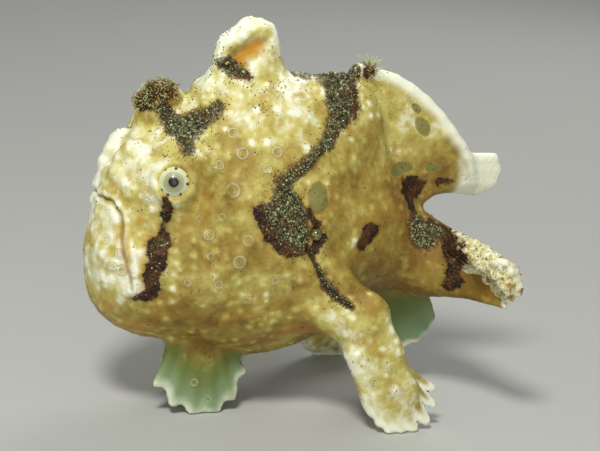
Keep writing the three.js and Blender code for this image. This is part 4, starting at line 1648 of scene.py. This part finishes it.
class FrogfishStageSettings(bpy.types.PropertyGroup):
    azimuth: angle_property("Camera Azimuth", "Way round the fish from its left side", -20)
    elevation: angle_property("Camera Elevation", "Angle above the floor", 15.5)
    roll: angle_property("Camera Roll", "Turn of the picture", 5)
    distance: length_property("Camera Distance", "Distance from the middle of the view", 0.4)
    lens: number_property("Lens", "Focal length in millimetres", 105.0)
    floor_colour: colour_property("Floor", "The plain floor", (0.50, 0.51, 0.48))


# Operators


class FROGFISH_OT_skin(bpy.types.Operator):
    """Makes the skin over head, jaw, trunk, spines, arms and fins in one piece"""

    bl_idname = "frogfish.skin"
    bl_label = "Skin"

    def execute(self, context):
        settings = context.scene.frogfish_skin
        field, sheets = make_flesh(settings.cell / MM)
        vertices, quads = surface_net(field)
        vertices = relaxed(vertices, quads, 2, 0.5)
        spots = pore_spots(vertices)
        marks = skin_marks(vertices, vertex_normals(vertices, quads), sheets, spots)
        vertices, marks["wart"] = raise_relief(vertices, quads, marks, settings)
        skin = new_object("skin", vertices, quads)
        for name, values in marks.items():
            store(skin.data, name, values)
        skin.data.materials.append(skin_material(context.scene.frogfish_colours))
        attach(skin, "root")
        flesh = [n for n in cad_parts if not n.startswith("eye_") and n != "fishing_rod"]
        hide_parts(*flesh)
        return {"FINISHED"}


class FROGFISH_OT_eyes(bpy.types.Operator):
    """Makes both eyes, each a ball with a slight bulge over the iris"""

    bl_idname = "frogfish.eyes"
    bl_label = "Eyes"

    def execute(self, context):
        material = eye_material()
        for word, side in SIDES.items():
            eye = self.eyeball(word, side)
            eye.data.materials.append(material)
            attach(eye, "root")
            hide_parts("eye_" + word)
        return {"FINISHED"}

    def eyeball(self, word, side):
        rings, around = 90, 128
        aim, turn, rise = eye_axes(side)
        flat, spots = [], []
        for tilt in np.linspace(0, math.pi, rings + 2)[1:-1]:
            radius = EYE_RADIUS + EYE_BULGE * hump(tilt, 0.75)
            ahead = radius * math.cos(tilt)
            away = 1 if ahead > 0 else FAR
            for angle in circle(around):
                across, up = (radius * math.sin(tilt) * f(angle) for f in (math.cos, math.sin))
                spots.append(aim * ahead + turn * across + rise * up)
                flat.append((away * across, away * up, 0))
        spots += [aim * (EYE_RADIUS + EYE_BULGE), -aim * EYE_RADIUS]
        flat = np.array([*flat, (0, 0, 0), (FAR, FAR, 0)])
        places = eye_middle(side) + np.array(spots)
        eye = new_object("eyeball_" + word, places, ball_faces(rings, around))
        dots = np.zeros(len(flat))
        for angle, out, size in EYE_DOTS:
            turned = math.radians(angle)
            away = flat - (-side * out * math.cos(turned), out * math.sin(turned), 0)
            inside = -np.linalg.norm(away, axis=1) / size
            dots = np.maximum(dots, smooth_step(inside, -1.15, -0.7))
        store(eye.data, "iris", flat)
        store(eye.data, "dots", dots)
        return eye


ROD_ROUTE = [(-43.6, 5.2, 63), (-42.8, 5.5, 64.8), (-40.8, 5.4, 68.6), (-37.8, 4.6, 71.4)]
ROD_RADIUS = 0.45
LURE = (0.82, 0.89, 0.96)  # where along the rod the lure's three leaves swell


class FROGFISH_OT_rod(bpy.types.Operator):
    """Makes the folded fishing rod with its small leaf-like lure"""

    bl_idname = "frogfish.rod"
    bl_label = "Fishing Rod"

    def execute(self, context):
        low, high = (np.array(corner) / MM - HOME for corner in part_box("fishing_rod"))
        root = np.array([low[0] + 0.9, 4.2, low[2] - 1.2])
        rings, around = 60, 10
        t = np.linspace(0, 1, rings)
        line = path([root, *ROD_ROUTE])(t)
        ahead = np.gradient(line, axis=0)
        ahead /= np.linalg.norm(ahead, axis=1)[:, None]
        aside = np.cross(ahead, (0, 1, 0))
        aside /= np.linalg.norm(aside, axis=1)[:, None]
        over = np.cross(ahead, aside)
        swell = ROD_RADIUS * (1 - 0.35 * t) + sum(0.8 * hump(t - place, 0.06) for place in LURE)
        vertices = []
        for n in range(rings):
            for angle in circle(around):
                leaf = 0.35 + 0.65 * ROD_RADIUS / swell[n]
                wide = swell[n] * math.cos(angle) * aside[n]
                vertices.append(line[n] + wide + leaf * swell[n] * math.sin(angle) * over[n])
        count = rings * around
        ends = [range(around)[::-1], range(count - around, count)]
        rod = new_object("rod", vertices, tube_faces(rings, around) + ends)
        rod.data.materials.append(rod_material(context.scene.frogfish_colours))
        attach(rod, "root")
        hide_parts("fishing_rod")
        return {"FINISHED"}


class FROGFISH_OT_sand(bpy.types.Operator):
    """Scatters sand grains on the crusted blotches and dark specks on the back and snout"""

    bl_idname = "frogfish.sand"
    bl_label = "Sand Grains"

    def execute(self, context):
        settings = context.scene.frogfish_growth
        tree = grain_tree()
        rows = (
            ("crust_grains", "sand", settings.grain_density, 0.35, 0.95, sand_material()),
            ("pebbles", "pebbles", settings.grain_density / 8, 0.9, 1.9, sand_material()),
            ("dark_specks", "specks", settings.speck_density, 0.25, 0.9, speck_material()),
        )
        for name, mask, density, smallest, largest, material in rows:
            values = {
                "Density": density,
                "Smallest": smallest * settings.grain_size,
                "Largest": largest * settings.grain_size,
                "Mask": mask,
                "Seed": settings.seed,
                "Material": material,
            }
            piece = grown_piece(name, tree, values)
            add_patch_map(piece.data, 12)
            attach(piece, "root")
        return {"FINISHED"}


class FROGFISH_OT_algae(bpy.types.Operator):
    """Grows the fuzzy algae on the tip of the second dorsal spine and on the dorsal fin"""

    bl_idname = "frogfish.algae"
    bl_label = "Algae"

    def execute(self, context):
        settings = context.scene.frogfish_growth
        tree = filament_tree()
        for name, mask, share, length, brown_share in (
            ("algae_filaments", "fuzz", 1, 0.9, 0.48),
            ("algae_sprig", "sprig", 1.5, 2.6, 0.1),
        ):
            values = {
                "Density": share * settings.filament_density,
                "Length": length * settings.filament_length,
                "Thickness": 0.075 * MM,
                "Mask": mask,
                "Seed": settings.seed + 1,
                "Material": algae_material(name + "_colour", brown_share),
            }
            piece = grown_piece(name, tree, values)
            add_patch_map(piece.data, 24)
            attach(piece, "root")
        return {"FINISHED"}


class FROGFISH_OT_bead(bpy.types.Operator):
    """Makes the clear bead that lies in the pit in front of the arm"""

    bl_idname = "frogfish.bead"
    bl_label = "Clear Bead"

    def execute(self, context):
        centre, radii = np.array([-6, -17.1, 44.4]), 1.2 * np.array([1, 1, 1.15])
        rings, around = 14, 24
        spots = []
        for tilt in np.linspace(0, math.pi, rings + 2)[1:-1]:
            across, up = math.sin(tilt), math.cos(tilt)
            spots += [(across * math.cos(a), across * math.sin(a), up) for a in circle(around)]
        spots += [(0, 0, 1), (0, 0, -1)]
        faces = [(first, *others[::-1]) for first, *others in ball_faces(rings, around)]
        bead = new_object("clear_bead", centre + radii * spots, faces)
        bead.data.materials.append(bead_material())
        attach(bead, "root")
        return {"FINISHED"}


LIT_MIDDLE, VIEW_MIDDLE = (-5, 0, 42), (-3.5, 0.6, 41.3)
LAMPS = [
    ("key", (-0.22, -0.3, 0.5), 0.14, 3.0),
    ("fill", (-0.2, -0.7, 0.14), 0.4, 0.9),
    ("back", (0.4, 0.45, 0.5), 0.4, 1.6),
]  # name, place in metres from the lit middle, size in metres and power in watts


class FROGFISH_OT_stage(bpy.types.Operator):
    """Sets the floor, the soft lights and the camera"""

    bl_idname = "frogfish.stage"
    bl_label = "Stage"

    def execute(self, context):
        settings = context.scene.frogfish_stage
        self.floor(tuple(settings.floor_colour))
        self.lights()
        self.camera(context.scene, settings)
        return {"FINISHED"}

    def floor(self, colour):
        mesh = bpy.data.meshes.new("floor")
        rim = [(3 * math.cos(a), 3 * math.sin(a), 0) for a in circle(96)]
        mesh.from_pydata(rim, [], [range(len(rim))])
        mesh.materials.append(floor_material(colour))
        linked("floor", mesh)

    def lights(self):
        world = bpy.data.worlds.new("soft_room")
        world.use_nodes = True
        background = world.node_tree.nodes["Background"]
        background.inputs["Color"].default_value = (0.86, 0.88, 0.90, 1)
        background.inputs["Strength"].default_value = 0.28
        bpy.context.scene.world = world
        bpy.context.scene.view_settings.view_transform = "Standard"
        for name, place, size, power in LAMPS:
            lamp = bpy.data.lights.new(name, "AREA")
            lamp.shape = "DISK"
            lamp.size = size
            lamp.energy = power
            lamp.color = (1.0, 0.985, 0.95)
            light = linked(name, lamp)
            light.location = Vector(to_frame(LIT_MIDDLE)) + Vector(place)
            light.rotation_euler = (-Vector(place)).to_track_quat("-Z", "Y").to_euler()

    def camera(self, scene, settings):
        around, above = settings.azimuth, settings.elevation
        level = math.cos(above)
        back = Vector((math.sin(around) * level, -math.cos(around) * level, math.sin(above)))
        data = bpy.data.cameras.new("camera")
        data.lens = settings.lens
        data.sensor_width = 36
        data.clip_start = 0.01
        camera = linked("camera", data)
        camera.location = Vector(to_frame(VIEW_MIDDLE)) + back * settings.distance
        camera.rotation_mode = "QUATERNION"
        facing = (-back).to_track_quat("-Z", "Y")
        camera.rotation_quaternion = facing @ Quaternion((0, 0, 1), settings.roll)
        scene.camera = camera


class FROGFISH_PT_panel(bpy.types.Panel):
    """The frogfish's pieces, in the order they are made"""

    bl_idname = "FROGFISH_PT_panel"
    bl_label = "Frogfish"
    bl_space_type = "VIEW_3D"
    bl_region_type = "UI"
    bl_category = "Frogfish"

    def draw(self, context):
        for group in SETTINGS:
            settings = getattr(context.scene, group)
            box = self.layout.box()
            for name in settings.bl_rna.properties.keys():
                if name not in ("rna_type", "name"):
                    box.prop(settings, name)
        for operator in OPERATORS:
            self.layout.operator(operator.bl_idname)


SETTINGS = {
    "frogfish_skin": FrogfishSkinSettings,
    "frogfish_colours": FrogfishColourSettings,
    "frogfish_growth": FrogfishGrowthSettings,
    "frogfish_stage": FrogfishStageSettings,
}
OPERATORS = (
    FROGFISH_OT_stage,
    FROGFISH_OT_skin,
    FROGFISH_OT_eyes,
    FROGFISH_OT_rod,
    FROGFISH_OT_sand,
    FROGFISH_OT_algae,
    FROGFISH_OT_bead,
)


def register():
    for name, group in SETTINGS.items():
        bpy.utils.register_class(group)
        setattr(bpy.types.Scene, name, PointerProperty(type=group))
    for operator in OPERATORS:
        bpy.utils.register_class(operator)
    bpy.utils.register_class(FROGFISH_PT_panel)


def unregister():
    bpy.utils.unregister_class(FROGFISH_PT_panel)
    for operator in reversed(OPERATORS):
        bpy.utils.unregister_class(operator)
    for name, group in SETTINGS.items():
        delattr(bpy.types.Scene, name)
        bpy.utils.unregister_class(group)


def main():
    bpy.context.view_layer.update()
    register()
    bpy.ops.frogfish.stage()
    bpy.ops.frogfish.skin()
    bpy.ops.frogfish.eyes()
    bpy.ops.frogfish.rod()
    bpy.ops.frogfish.sand()
    bpy.ops.frogfish.algae()
    bpy.ops.frogfish.bead()
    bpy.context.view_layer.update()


if __name__ == "__main__":
    main()
